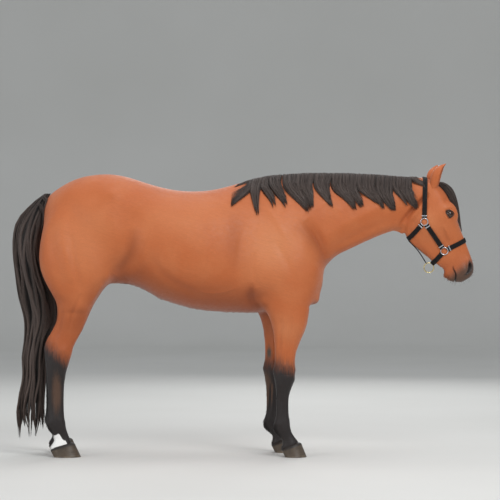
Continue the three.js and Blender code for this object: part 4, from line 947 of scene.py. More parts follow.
def coat_masks(points, normals):
    """How far each colour of the coat holds at each point, from 0 to 1; the deep mask is mostly painted
    shade and the light mask painted highlights. Skin and tufts share them.
    """
    at = home(points)
    x, y, z = at.T
    along, _, up = head_frame(points).T
    flat, face = at[:, [0, 2]], np.stack([along, up], axis=1)
    head = head_share(points)
    body = 1 - head
    low = body * (z < 0.95)
    fore, hind = low * (x > WAIST), low * (x <= WAIST)
    outer = smoothstep(0.05, 0.12, np.abs(y)) * smoothstep(-0.2, 0.5, normals[:, 1] * np.sign(y))
    dark = fore * (1 - smoothstep(0.380, 0.640, z + 0.35 * (x - 0.24)))
    dark += hind * (1 - smoothstep(0.465, 0.705, z + 0.9 * (x + 1.03)))
    cannon = 0.22 * fore * bell(z, 0.345, 0.10)
    cannon += hind * outer * bell(z, 0.350, 0.125) * bell(x, -1.022, 0.030)
    cannon += 0.9 * fore * (y > 0) * smoothstep(-0.1, 0.7, -normals[:, 0]) * bell(z, 0.36, 0.11)
    muzzle = head * smoothstep(0.455, 0.560, along + 0.18 * np.minimum(up + 0.06, 0) - 0.03 * (up > 0))
    a, b, out = eye_local(points).T
    near_eye = (out > -0.02) & (np.hypot(a, b) < 0.06)
    bare = np.where(near_eye, 1 - smoothstep(0.0015, 0.0075, lid_edge(a, b)), 0)
    for side in SIDES.values():
        ring, _, off = nostril_ring(points, side)
        bare = np.maximum(bare, (1 - smoothstep(0.9, 1.5, ring)) * (np.abs(off) < 0.04) * (y * side > 0))
    bare = np.maximum(bare, along_line(face, MOUTH, 0.005) * head)
    # The deep colour: painted shade under the belly, in the painted shade lines, on the inner sides of
    # the upper legs and along the jowl; it also darkens the hind legs below the stifle and the face
    # towards the nose.
    below = smoothstep(0.15, 0.9, -normals[:, 2]) * body
    deep = 0.75 * below * smoothstep(0.62, 0.80, z) * (1 - smoothstep(0.95, 1.20, z))
    deep += body * sum(share * along_line(flat, line, reach) for share, line, reach in PAINTED_SHADE_LINES)
    deep += (1 - outer) * 0.7 * hind * smoothstep(0.60, 0.75, z)
    deep += (1 - outer) * 0.5 * fore * smoothstep(0.55, 0.70, z)
    deep += 0.45 * hind * (1 - smoothstep(0.68, 0.90, z))
    deep += head * (0.35 * smoothstep(0.40, 0.52, along) + 0.9 * along_line(face, JOWL_SHADE_LINE, 0.013))
    # The light mask: painted highlights on shoulder, haunch and back, on the forearm and on the cheek,
    # only where the coat faces sideways.
    light = body * sum(share * bell(x, x0, x_reach) * bell(z, z0, z_reach)
                       for share, x0, x_reach, z0, z_reach in LIGHT_SPOTS)
    light += 0.6 * bell(x, 0.24, 0.07) * bell(z, 0.70, 0.06) * low
    light += 0.5 * bell(along, 0.20, 0.07) * bell(up, -0.12, 0.06) * head
    light *= smoothstep(0.0, 0.5, np.abs(normals[:, 1]))
    white_top = 0.117 - 1.20 * np.maximum(x + 1.006, 0) + 0.004 * np.sin(160 * x)
    white = (z < 0.20) * hind * (y < 0) * (1 - smoothstep(-0.004, 0.018, z - white_top))
    white *= smoothstep(-0.85, -0.10, -normals[:, 1])
    chestnut = fore * bell(x, 0.195, 0.010) * bell(z, 0.560, 0.024)
    chestnut = (1 - outer) * (chestnut + hind * bell(x, -0.985, 0.010) * bell(z, 0.520, 0.020))
    return {
        "points": np.clip(dark, 0, 1), "cannon": cannon, "muzzle": muzzle,
        "ear_tip": smoothstep(0.72, 1.0, np.clip(ear_place(points), 0, 1) * head),
        "bare": np.clip(bare, 0, 1), "deep": np.clip(deep, 0, 1), "light": np.clip(light, 0, 1),
        "white": white, "horn": np.clip(2 * chestnut, 0, 1), "head": head,
        "leg": leg_share(points) * body,
    }


def give_masks(mesh, masks):
    """Stores each mask as a value of the mesh's points, which the coat's material reads by name."""
    for name, values in masks.items():
        attribute = mesh.attributes.new(name, "FLOAT", "POINT")
        attribute.data.foreach_set("value", np.ascontiguousarray(values, np.float32))


# ---- materials
class Paint:
    """Lays out the nodes of one material or group. Each method adds a node and gives its output."""

    def __init__(self, tree, shader=None):
        self.tree = tree
        self.shader = shader

    def add(self, kind, inputs=None, **settings):
        """A node of a kind, with its own settings, and what goes into its inputs."""
        node = self.tree.nodes.new(kind)
        place = len(self.tree.nodes)
        node.location = (180 * (place % 12), -220 * (place // 12))
        for name, value in settings.items():
            setattr(node, name, value)
        for name, value in (inputs or {}).items():
            self.put(node.inputs[name], value)
        return node

    def put(self, socket, value):
        if isinstance(value, bpy.types.NodeSocket):
            self.tree.links.new(value, socket)
        else:
            socket.default_value = (*value[:3], 1) if socket.type == "RGBA" else value

    def attribute(self, name):
        return self.add("ShaderNodeAttribute", attribute_name=name).outputs["Fac"]

    def place(self):
        return self.add("ShaderNodeTexCoord").outputs["Object"]

    def map_of(self, name):
        """The two numbers of a map of the mesh."""
        place = self.add("ShaderNodeUVMap", uv_map=name).outputs["UV"]
        return self.add("ShaderNodeSeparateXYZ", {0: place}).outputs[:2]

    def stretched(self, vector, turn, cells):
        """Turns a place by angles in degrees and counts it in cells of so many metres each way."""
        angles = [math.radians(angle) for angle in turn]
        return self.add("ShaderNodeMapping", {"Vector": vector, "Rotation": angles, "Scale": cells},
                        vector_type="TEXTURE").outputs["Vector"]

    def noise(self, vector, scale=1.0, detail=2.0, roughness=0.5):
        return self.add("ShaderNodeTexNoise", {"Vector": vector, "Scale": scale, "Detail": detail,
                                               "Roughness": roughness}).outputs["Fac"]

    def math(self, operation, a, b=0.0):
        return self.add("ShaderNodeMath", {0: a, 1: b}, operation=operation).outputs[0]

    def times(self, a, b):
        return self.math("MULTIPLY", a, b)

    def plus(self, a, b):
        return self.math("ADD", a, b)

    def minus(self, a, b):
        return self.math("SUBTRACT", a, b)

    def hypot(self, a, b):
        """The root of the sum of two squares."""
        return self.math("SQRT", self.plus(self.math("POWER", a, 2.0), self.math("POWER", b, 2.0)))

    def between(self, value, low, high, start=0.0, end=1.0):
        """`start` where the value is at `low` and `end` at `high`, smoothly between them."""
        return self.add("ShaderNodeMapRange", {"Value": value, "From Min": low, "From Max": high,
                                               "To Min": start, "To Max": end},
                        interpolation_type="SMOOTHSTEP").outputs["Result"]

    def mix(self, share, a, b):
        return self.add("ShaderNodeMix", {0: share, 6: a, 7: b}, data_type="RGBA",
                        clamp_factor=True).outputs[2]

    def scaled(self, colour, share):
        return self.add("ShaderNodeVectorMath", {0: colour, "Scale": share}, operation="SCALE").outputs[0]

    def combined(self, *parts):
        return self.add("ShaderNodeCombineXYZ", dict(enumerate(parts))).outputs[0]

    def group(self, tree, **values):
        return self.add("ShaderNodeGroup", values, node_tree=tree).outputs

    def finish(self, colour, roughness=None, height=None, distance=0.001, strength=1.0):
        """Feeds the shader: its colour, its roughness, and relief of a height in metres."""
        self.put(self.shader["Base Color"], colour)
        if roughness is not None:
            self.put(self.shader["Roughness"], roughness)
        if height is not None:
            relief = {"Height": height, "Distance": distance, "Strength": strength}
            self.put(self.shader["Normal"], self.add("ShaderNodeBump", relief).outputs["Normal"])


def new_material(name, roughness=0.5, **values):
    """A material with one Principled shader, whose plain numbers are set on its own sockets."""
    material = bpy.data.materials.new(name)
    material.use_nodes = True
    shader = material.node_tree.nodes["Principled BSDF"].inputs
    for socket, value in {"Roughness": roughness, **values}.items():
        shader[socket.replace("_", " ")].default_value = value
    return material, Paint(material.node_tree, shader)


def new_group(name, inputs, outputs):
    """A group of nodes with named sockets: each row has the socket's name, kind and default."""
    tree = bpy.data.node_groups.new(name, "ShaderNodeTree")
    for socket, kind, value in inputs:
        made = tree.interface.new_socket(socket, in_out="INPUT", socket_type=f"NodeSocket{kind}")
        if value is not None:
            made.default_value = value
    for socket, kind in outputs:
        tree.interface.new_socket(socket, in_out="OUTPUT", socket_type=f"NodeSocket{kind}")
    paint = Paint(tree)
    source = paint.add("NodeGroupInput").outputs
    goal = paint.add("NodeGroupOutput").inputs
    return tree, paint, source, goal


def hair_lie_group():
    """Short hair that lies one way: noise drawn out along the hair, fine strands and broader locks.
    Legs and head take their own way in place of the body's, as far as their masks say."""
    tree, paint, source, goal = new_group(
        "lie of the hair", [("Place", "Vector", None), ("Leg", "Float", 0.0), ("Head", "Float", 0.0)],
        [("Strands", "Float"), ("Locks", "Float")])
    ways = {"body": (0, 18, 0), "leg": (0, 90, 0), "head": (0, math.degrees(HEAD_SLOPE), 0)}
    for output, (long, wide, deep) in {"Strands": (0.022, 0.0011, 0.0011),
                                       "Locks": (0.090, 0.0085, 0.0085)}.items():
        size = {"body": 1.0, "leg": 0.7, "head": 0.6}
        values = {
            way: paint.noise(paint.stretched(source["Place"], turn, [
                long * size[way], wide * size[way], deep * size[way]]), 1.0, 2.0, 0.55)
            for way, turn in ways.items()
        }
        blend = paint.mix(source["Leg"], values["body"], values["leg"])
        blend = paint.mix(source["Head"], blend, values["head"])
        paint.put(goal[output], blend)
    return tree


def coat_material(colours, lie_group):
    """The coat of skin and tufts: the bay's colours by their masks, with edges broken by noise, and
    painted highlights and painted shade laid over them by the light and deep masks.
    """
    material, paint = new_material("short coat", 0.55, Sheen_Weight=0.12, Sheen_Roughness=0.45,
                                   Specular_IOR_Level=0.35)
    place = paint.place()
    masks = {name: paint.attribute(name) for name in (
        "points", "cannon", "muzzle", "ear_tip", "bare", "deep", "light", "white", "horn", "leg", "head")}
    lie = paint.group(lie_group, Place=place, Leg=masks["leg"], Head=masks["head"])
    clouds = paint.noise(place, 7.0, 3.0)
    fleck = paint.noise(place, 55.0, 2.0)

    def edged(name, low=0.25, high=0.75, rough=0.35):
        """A mask whose edge wanders with the broader locks of hair."""
        wander = paint.times(paint.minus(lie["Locks"], 0.5), rough)
        return paint.between(paint.plus(masks[name], wander), low, high)

    colour = paint.mix(paint.between(clouds, 0.35, 0.70, 0.0, 0.25), colours.body, colours.light)
    # The light and deep masks lay painted highlights and painted shade; the other masks are the bay's own
    # markings.
    for share, over in (
        (masks["light"], colours.light),
        (paint.times(masks["deep"], 0.9), colours.deep),
        (edged("points", 0.10, 0.90, 0.50), colours.points),
        (paint.times(edged("cannon", 0.2, 0.9), 0.8), colours.cannon),
        (edged("muzzle", 0.15, 0.95, 0.25), colours.muzzle),
        (edged("ear_tip", 0.3, 0.8), colours.points),
        (masks["horn"], srgb(84, 74, 64)),
        (edged("white", 0.30, 0.70, 0.70), colours.white),
        (paint.times(masks["bare"], 0.92), srgb(34, 28, 27)),
    ):
        colour = paint.mix(share, colour, over)
    strands = paint.between(lie["Strands"], 0.30, 0.72, 0.91, 1.06)
    locks = paint.between(lie["Locks"], 0.30, 0.72, 0.975, 1.02)
    colour = paint.scaled(colour, paint.times(strands, locks))
    rough = paint.between(fleck, 0.3, 0.7, 0.46, 0.60)
    wet = paint.times(masks["bare"], -0.16)
    height = paint.plus(lie["Strands"], paint.times(lie["Locks"], 0.6))
    furred = paint.minus(1.0, paint.times(masks["bare"], 0.8))
    relief = paint.times(height, furred)
    paint.finish(colour, paint.plus(rough, wet), relief, 0.0009, 0.42)
    return material


def hair_material(colours):
    """Strands of mane, tail and forelock. Each strand's tone, which also carries painted shade in the
    partings and on the deeper strands, and its place from root to tip are attributes of the mesh."""
    material, paint = new_material("long hair", 0.48, Specular_IOR_Level=0.4, Sheen_Weight=0.05)
    tone_and_shade, along = paint.attribute("tone_and_shade"), paint.attribute("along")
    worn = paint.times(paint.between(along, 0.35, 1.0), 0.45)
    share = paint.plus(paint.times(tone_and_shade, 0.75), worn)
    colour = paint.mix(share, colours.hair, colours.hair_light)
    # Darker over the first tenth of each strand from its root, and painted shade where the strand's tone
    # value is low: in the partings and on the deeper strands.
    root = paint.times(paint.between(along, 0.0, 0.10, 0.72, 1.0),
                      paint.between(tone_and_shade, -0.6, 0.1, 0.34, 1.0))
    fine = paint.noise(paint.stretched(paint.place(), (0, 90, 0), (0.05, 0.0012, 0.0012)), 1.0, 2.0)
    streak = paint.between(fine, 0.3, 0.7, 0.82, 1.12)
    colour = paint.scaled(colour, paint.times(root, streak))
    paint.finish(colour, paint.between(fine, 0.3, 0.7, 0.40, 0.58), fine, 0.0006, 0.4)
    return material


def horn_material():
    """Hoof horn: growth rings level with the coronet, fine tubes down the wall, scuffs at the floor."""
    material, paint = new_material("hoof horn", 0.42, Specular_IOR_Level=0.45)
    rings = paint.attribute("rings")
    place = paint.place()
    waves = paint.noise(paint.combined(0.0, 0.0, paint.times(rings, 26.0)), 1.0, 2.0)
    tubes = paint.noise(paint.stretched(place, (0, 0, 0), (0.0010, 0.0010, 0.03)), 1.0, 2.0)
    patches = paint.noise(place, 30.0, 3.0)
    colour = paint.mix(paint.between(waves, 0.3, 0.7), srgb(66, 56, 47), srgb(98, 84, 68))
    colour = paint.mix(paint.between(patches, 0.4, 0.75, 0.0, 0.5), colour, srgb(50, 43, 37))
    worn = paint.times(paint.between(rings, 0.30, 0.0), paint.between(patches, 0.35, 0.65))
    colour = paint.mix(worn, colour, srgb(122, 108, 90))
    colour = paint.mix(paint.between(rings, 0.88, 1.0), colour, srgb(44, 38, 34))
    streak = paint.between(tubes, 0.3, 0.7, 0.88, 1.08)
    height = paint.plus(waves, paint.times(tubes, 0.4))
    paint.finish(paint.scaled(colour, streak), paint.between(patches, 0.3, 0.7, 0.34, 0.58), height,
                 0.0008, 0.5)
    return material


def eye_material():
    """A horse's eye: brown iris with radial fibres, a level oval pupil and a dark rim, under a clear
    wet coat. The map's middle is the pupil's, and it counts in eyeball radii."""
    material, paint = new_material("eyeball", 0.14, Coat_Weight=0.75, Coat_Roughness=0.02,
                                   Specular_IOR_Level=0.25)
    level, high = paint.map_of("Eye")
    from_middle = paint.hypot(level, high)
    angle = paint.math("ARCTAN2", high, level)
    fibre = paint.noise(paint.combined(paint.times(paint.math("SINE", angle), 7.0),
                                       paint.times(paint.math("COSINE", angle), 7.0),
                                       paint.times(from_middle, 1.5)), 1.0, 3.0)
    colour = paint.mix(paint.between(fibre, 0.3, 0.7), srgb(36, 20, 11), srgb(84, 50, 25))
    colour = paint.mix(paint.between(from_middle, 0.46, 0.68), colour, srgb(22, 14, 9))
    pupil = paint.hypot(paint.math("DIVIDE", level, 0.37), paint.math("DIVIDE", high, 0.20))
    colour = paint.mix(paint.between(pupil, 1.12, 0.92), colour, srgb(5, 6, 9))
    white = paint.mix(paint.between(paint.noise(paint.place(), 160.0), 0.4, 0.7), srgb(48, 34, 27),
                      srgb(104, 84, 70))
    paint.finish(paint.mix(paint.between(from_middle, 0.74, 0.90), colour, white))
    return material


def webbing_material():
    """Black nylon webbing: a fine herringbone of yarns along and across the strap's own map."""
    material, paint = new_material("black webbing", 0.62, Specular_IOR_Level=0.25)
    along, across = paint.map_of("Strap")
    slant = paint.math("PINGPONG", across, 0.0033)
    yarn = paint.math("SINE", paint.times(paint.plus(along, slant), 2 * math.pi / 0.0021))
    rib = paint.math("SINE", paint.times(across, 2 * math.pi / 0.0022))
    weave = paint.plus(paint.times(yarn, 0.5), paint.times(rib, 0.5))
    dust = paint.noise(paint.place(), 60.0, 3.0)
    colour = paint.mix(paint.between(weave, -0.8, 0.9), srgb(6, 6, 7), srgb(17, 17, 19))
    colour = paint.mix(paint.between(dust, 0.5, 0.8, 0.0, 0.20), colour, srgb(36, 34, 33))
    paint.finish(colour, paint.between(dust, 0.3, 0.7, 0.52, 0.72), weave, 0.0003, 0.7)
    return material


def thread_material():
    """The sewing thread of the straps."""
    material, paint = new_material("sewing thread", 0.6, Sheen_Weight=0.2)
    twist = paint.noise(paint.place(), 900.0, 1.0)
    paint.finish(paint.mix(paint.between(twist, 0.3, 0.7), srgb(14, 14, 15), srgb(34, 33, 33)))
    return material


def metal_material(name, dark, bright, wear, roughness):
    """Polished fittings with fine scratches and duller, darker places."""
    material, paint = new_material(name, roughness, Metallic=1.0)
    marks = paint.group(wear, Place=paint.place())
    rough = paint.plus(paint.times(marks["Dull"], 0.25), roughness)
    paint.finish(paint.mix(marks["Dull"], bright, dark), rough, marks["Scratches"], 0.0001, 0.25)
    return material


def wear_group():
    """Wear of metal: dull patches, and scratches as noise drawn out two ways."""
    tree, paint, source, goal = new_group("wear of metal", [("Place", "Vector", None)],
                                          [("Dull", "Float"), ("Scratches", "Float")])
    patches = paint.noise(source["Place"], 120.0, 4.0)
    paint.put(goal["Dull"], paint.between(patches, 0.42, 0.72))
    scratches = [paint.noise(paint.stretched(source["Place"], turn, (0.006, 0.0003, 0.0003)), 1.0, 1.0)
                 for turn in ((20, 35, 10), (-40, 10, 70))]
    paint.put(goal["Scratches"], paint.math("MINIMUM", *scratches))
    return tree


def make_materials(colours):
    wear = wear_group()
    return {
        "coat": coat_material(colours, hair_lie_group()),
        "hair": hair_material(colours),
        "horn": horn_material(),
        "eye": eye_material(),
        "webbing": webbing_material(),
        "thread": thread_material(),
        "steel": metal_material("plated steel", srgb(160, 160, 164), srgb(206, 206, 210), wear, 0.20),
        "brass": metal_material("pale brass", srgb(178, 158, 104), srgb(222, 206, 150), wear, 0.22),
    }


# ---- eyes and hooves
def make_eyes(materials):
    """Each eyeball is a ball whose rings run round its line of sight, with a higher dome in front,
    the cornea, that rises as exp(-(angle / 33 degrees)^2). Behind the lids the ball narrows."""
    rows, around = 40, 64
    for name, side in SIDES.items():
        middle = from_head_frame([EYE_PLACE[0], EYES[name][1], EYE_PLACE[1]])
        sight = unit(from_head_frame([0.12, 0.97 * side, 0.20]) - POLL)
        tilt = np.array([1.0, 0, -0.55])
        level = unit(tilt - (tilt @ sight) * sight)
        high = np.cross(sight, level) * -side
        angle = np.linspace(0.002, math.pi - 0.002, rows)[:, None]
        turn = np.linspace(0, 2 * math.pi, around, endpoint=False)[None, :]
        radius = EYEBALL - 0.0004 + 0.0009 * bell(angle, 0, math.radians(33))
        flat = np.sin(angle)
        local = np.stack([flat * np.cos(turn), flat * np.sin(turn), np.cos(angle) + 0 * turn], axis=-1)
        ways = local[..., :1] * level + local[..., 1:2] * high + local[..., 2:] * sight
        a, b, out = eye_local((middle + radius[..., None] * ways).reshape(-1, 3)).T
        hidden = np.maximum(smoothstep(0.0015, 0.009, lid_edge(a, b)), 1 - smoothstep(-0.006, 0.004, out))
        radius = radius * (1 - 0.45 * hidden.reshape(rows, around))
        points, faces = capped(middle + radius[..., None] * ways)
        piece = new_piece(f"eyeball_{name}", points, faces, materials["eye"], [f"eye_{name}"])
        give_map(piece.data, "Eye", np.concatenate([local[..., :2].reshape(-1, 2), np.zeros((2, 2))]))


def tube_faces(rows, around):
    """Triangles over rings one after another, closed by a last point at each end."""
    quads = grid_faces(rows, around, True)
    first = np.arange(around)
    last = first + (rows - 1) * around
    start = np.stack([np.roll(first, -1), first, np.full(around, rows * around)], axis=1)
    end = np.stack([last, np.roll(last, -1), np.full(around, rows * around + 1)], axis=1)
    return np.concatenate([quads[:, :3], quads[:, [0, 2, 3]], start, end])


def capped(rings):
    """Points and triangles of rings closed by the middle of each end, with the faces outwards."""
    points = np.concatenate([rings.reshape(-1, 3), rings[[0, -1]].mean(axis=1)])
    return points, outwards(points, tube_faces(*rings.shape[:2]))


def outwards(points, faces):
    """The triangles of a closed shape, turned round if they enclose less than nothing."""
    a, b, c = (points[faces[:, i]] for i in range(3))
    middle = a.mean(axis=0)
    volume = np.einsum("ij,ij->", a - middle, np.cross(b - middle, c - middle))
    return faces if volume > 0 else faces[:, ::-1]


def give_map(mesh, name, places):
    """Stores a place on a flat map for each point of the mesh."""
    layer = mesh.uv_layers.new(name=name)
    layer.uv.foreach_set("vector", np.ascontiguousarray(places[corners_of(mesh)], np.float32).ravel())


HOOVES = {"fore": {"middle": 0.134, "slope": 0.030, "top_half": 0.045},
          "hind": {"middle": 0.135, "slope": 0.035, "top_half": 0.044}}
HEEL_LEANS = 0.018
CORONET = (0.074, 0.036)  # how high the coronet stands at the toe and at the heels


def make_hoof(leg, name, side, materials):
    """A hoof by rings from the sole to the coronet. Each ring is a superellipse, squarer behind; the
    wall leans as a straight line, waves by a third of a millimetre in growth rings, swells in at the
    coronet, and the heels are parted by a groove. Inside the wall the sole rises as a shallow vault."""
    low, high = (np.array(corner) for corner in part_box(f"hoof_{leg}_{name}"))
    toe, heel, half = high[0], low[0] + HEEL_LEANS, (high[1] - low[1]) / 2
    top_front, top_back = toe - HOOVES[leg]["slope"], low[0]
    middle = side * HOOVES[leg]["middle"]
    t = np.concatenate([np.linspace(0, 1, 34), [1.0, 1.0, 1.0, 1.0]])[:, None]
    inset = np.concatenate([np.zeros(34), [0.03, 0.10, 0.20, 0.90]])[:, None]
    over = np.concatenate([np.zeros(34), [0.003, 0.007, 0.012, 0.012]])[:, None]
    angle = np.linspace(0, 2 * math.pi, 96, endpoint=False)[None, :]
    front = toe + (top_front - toe) * t
    back = heel + (top_back - heel) * t
    wide = half + (HOOVES[leg]["top_half"] - half) * t**0.8
    widest = back + 0.46 * (front - back)
    ahead, aside = np.cos(angle), np.sin(angle)
    power = np.where(ahead > 0, 2.0, 2.6)
    round_ = (np.abs(ahead) ** power + np.abs(aside) ** power) ** (-1 / power)
    groove = 0.16 * bell(aside, 0, 0.22) * (ahead < 0) * (0.4 + 0.6 * (1 - t))
    wave = 0.00022 * np.sin(2 * math.pi * (t * 8 + 0.15 * np.cos(angle))) * (1 - 0.5 * t)
    collar = 0.0009 * bell(t, 0.95, 0.04) - 0.0004 * smoothstep(0.95, 1.0, t)
    edge = -0.0012 * (1 - smoothstep(0.0, 0.05, t))
    grow = (1 + (wave + collar + edge) / half) * (1 - groove) * (1 - inset)
    x = widest + ahead * round_ * np.where(ahead > 0, front - widest, widest - back) * grow
    y = middle + aside * round_ * wide * grow
    top = CORONET[1] + (CORONET[0] - CORONET[1]) * (x - back) / (front - back)
    z = t * top - 0.0008 * (t >= 1) + over
    wall = np.stack([x, y, z], axis=-1)
    sole_in = np.array([0.04, 0.12, 0.5, 0.98])[:, None, None]
    sole_up = np.array([0.0004, 0.0035, 0.006, 0.007])[:, None, None] * [0.0, 0.0, 1.0]
    centre = np.array([widest[0, 0], middle, 0.0])
    rim = np.stack([x[:1], y[:1], 0 * x[:1]], axis=-1)
    sole = (centre + (rim - centre) * (1 - sole_in) + sole_up)[::-1]
    points, faces = capped(np.concatenate([sole, wall]))
    piece = new_piece(f"hoof_{leg}_{name}_horn", points, faces, materials["horn"],
                      [f"hoof_{leg}_{name}"])
    height = np.concatenate([np.zeros((4, 96)), t + 0 * angle]).ravel()
    give_masks(piece.data, {"rings": np.append(height, [0, 1])})


# ---- long hair
BAKE_PATCH = 0.003  # how wide a strand's patch is on the bake's map


def strand_mesh(name, paths, across, out, wide, thick, tone_and_shade, material, replaces, roots):
    """Strands as slender three-sided pointed tubes. `paths` has strands x steps x 3 points; a strand
    is `wide` across and stands `thick` out, both swelling from the root and running out to the tip as
    (1 - t^4). The last step is one point. The bake's map gives each strand a small patch at its
    root's place."""
    count, steps = paths.shape[:2]
    t = np.linspace(0, 1, steps)[None, :, None]
    form = (0.55 + 0.45 * smoothstep(0, 0.15, t)) * (1 - t**4)
    half = 0.5 * wide[:, None, None] * form
    rise = thick[:, None, None] * form
    under, aside = paths - out * rise * 0.35, across * half
    corners = np.stack([under - aside, under + aside, paths + out * rise * 0.65], axis=2)
    body = corners[:, :-1].reshape(count, -1, 3)
    points = np.concatenate([body, paths[:, -1:]], axis=1)
    per = 3 * (steps - 1) + 1
    i = np.arange(steps - 2)[:, None] * 3
    k = np.arange(3)[None, :]
    a, b = i + k, i + (k + 1) % 3
    sides = [np.stack(corner, axis=-1).reshape(-1, 3) for corner in ((a, b, b + 3), (a, b + 3, a + 3))]
    last = 3 * (steps - 2)
    tip = [[last, last + 1, per - 1], [last + 1, last + 2, per - 1], [last + 2, last, per - 1], [0, 2, 1]]
    one = np.concatenate([*sides, tip])
    faces = (one[None] + per * np.arange(count)[:, None, None]).reshape(-1, 3)
    if (outwards(points.reshape(-1, 3), faces[: len(one)]) != faces[: len(one)]).any():
        faces = faces[:, ::-1]
    piece = new_piece(name, points.reshape(-1, 3), faces, material, replaces)
    place = np.concatenate([np.repeat(t[0, :-1, 0], 3), [1.0]])
    give_masks(piece.data, {"along": np.tile(place, count), "tone_and_shade": np.repeat(tone_and_shade, per)})
    patch = np.stack([np.append(np.tile([0.0, 0.5, 1.0], steps - 1), 0.5), place], axis=1) * BAKE_PATCH
    give_map(piece.data, "OFBake", (roots[:, None] * (1 - BAKE_PATCH) + patch[None]).reshape(-1, 2))
    return piece


def long_hair(name, paths, normal, wide, tone_and_shade, materials, replaces, roots, flat=0.45):
    """Strands of long hair, across their ways and along the skin, `flat` as thick as they are wide."""
    ahead = unit(np.gradient(paths, axis=1))
    across = unit(np.cross(ahead, normal))
    out = unit(np.cross(across, ahead))
    strand_mesh(name, paths, across, out, wide, flat * wide, tone_and_shade, materials["hair"], replaces,
                roots)


def cast(tree, starts, ways, reach=None):
    """Where rays meet the skin, and its normals there. A ray that misses takes the skin's nearest
    point to where it has come after its reach, and is an error if it has none."""
    hits = [tree.ray_cast(start, way)[:2] for start, way in zip(starts.tolist(), ways.tolist())]
    for i, hit in enumerate(hits):
        if hit[0] is None:
            if reach is None:
                raise RuntimeError("a ray that looks for the skin has missed it")
            hits[i] = tree.find_nearest(Vector(starts[i] + reach * ways[i]))[:2]
    return np.array([hit[0] for hit in hits]), np.array([hit[1] for hit in hits])


def read_grid(grid, row, column):
    """Values between a grid's points, by their rows and columns as numbers with fractions."""
    rows, columns = grid.shape[:2]
    row, column = np.clip(row, 0, rows - 1.001), np.clip(column, 0, columns - 1.001)
    i, j = row.astype(int), column.astype(int)
    p, q = (row - i)[..., None], (column - j)[..., None]
    return ((1 - p) * (1 - q) * grid[i, j] + p * (1 - q) * grid[i + 1, j]
            + (1 - p) * q * grid[i, j + 1] + p * q * grid[i + 1, j + 1])


def smoothed(grid, times):
    """Each point of a grid drawn to the mean of its neighbours, so many times; the edges stay."""
    for _ in range(times):
        inner = (grid[:-2, 1:-1] + grid[2:, 1:-1] + grid[1:-1, :-2] + grid[1:-1, 2:]) / 4
        grid = grid.copy()
        grid[1:-1, 1:-1] = 0.5 * grid[1:-1, 1:-1] + 0.5 * inner
    return grid


# Locks of the mane from the withers to the poll: where on the crest each begins and ends, in X, and
# its tip in (x, z)
MANE_LOCKS = np.array([
    (0.020, 0.045, -0.027, 1.476), (0.024, 0.066, -0.052, 1.362), (0.062, 0.118, 0.052, 1.308),
    (0.114, 0.150, 0.148, 1.345), (0.146, 0.214, 0.214, 1.352), (0.219, 0.320, 0.332, 1.319),
    (0.324, 0.400, 0.353, 1.340), (0.398, 0.446, 0.468, 1.348), (0.442, 0.500, 0.448, 1.386),
    (0.491, 0.574, 0.594, 1.337), (0.570, 0.636, 0.633, 1.355), (0.632, 0.680, 0.714, 1.377),
    (0.676, 0.734, 0.751, 1.349), (0.737, 0.838, 0.807, 1.333), (0.836, 0.887, 0.882, 1.373),
    (0.885, 0.936, 0.940, 1.351), (0.932, 0.968, 0.984, 1.466),
])
MANE_GRID = {"first": -0.07, "last": 1.00, "columns": 90, "start": -24, "end": 128, "rows": 60}


def mane_ground(tree):
    """The neck's surface by sections: rays from a line 130 mm under the crest fan out from past the
    crest on the left, down the right side. Gives points, normals and the way along each section."""
    x = np.linspace(MANE_GRID["first"], MANE_GRID["last"], MANE_GRID["columns"])
    angle = np.radians(np.linspace(MANE_GRID["start"], MANE_GRID["end"], MANE_GRID["rows"]))
    down = np.tile([0.0, 0.0, -1.0], (len(x), 1))
    crest, _ = cast(tree, np.stack([x, 0 * x, 0 * x + 2.0], axis=1), down)
    middle = np.stack([x, 0 * x, crest[:, 2] - 0.13], axis=1)
    ways = np.stack([0 * angle, -np.sin(angle), np.cos(angle)], axis=1)
    starts = np.repeat(middle, len(angle), axis=0)
    places, _ = cast(tree, starts, np.tile(ways, (len(x), 1)))
    places = smoothed(places.reshape(len(x), len(angle), 3), 3)
    along = np.gradient(places, axis=0)
    round_ = np.gradient(places, axis=1)
    normals = unit(np.cross(round_, along))
    normals *= np.sign((normals * (places - middle[:, None])).sum(axis=-1, keepdims=True))
    return x, places, normals


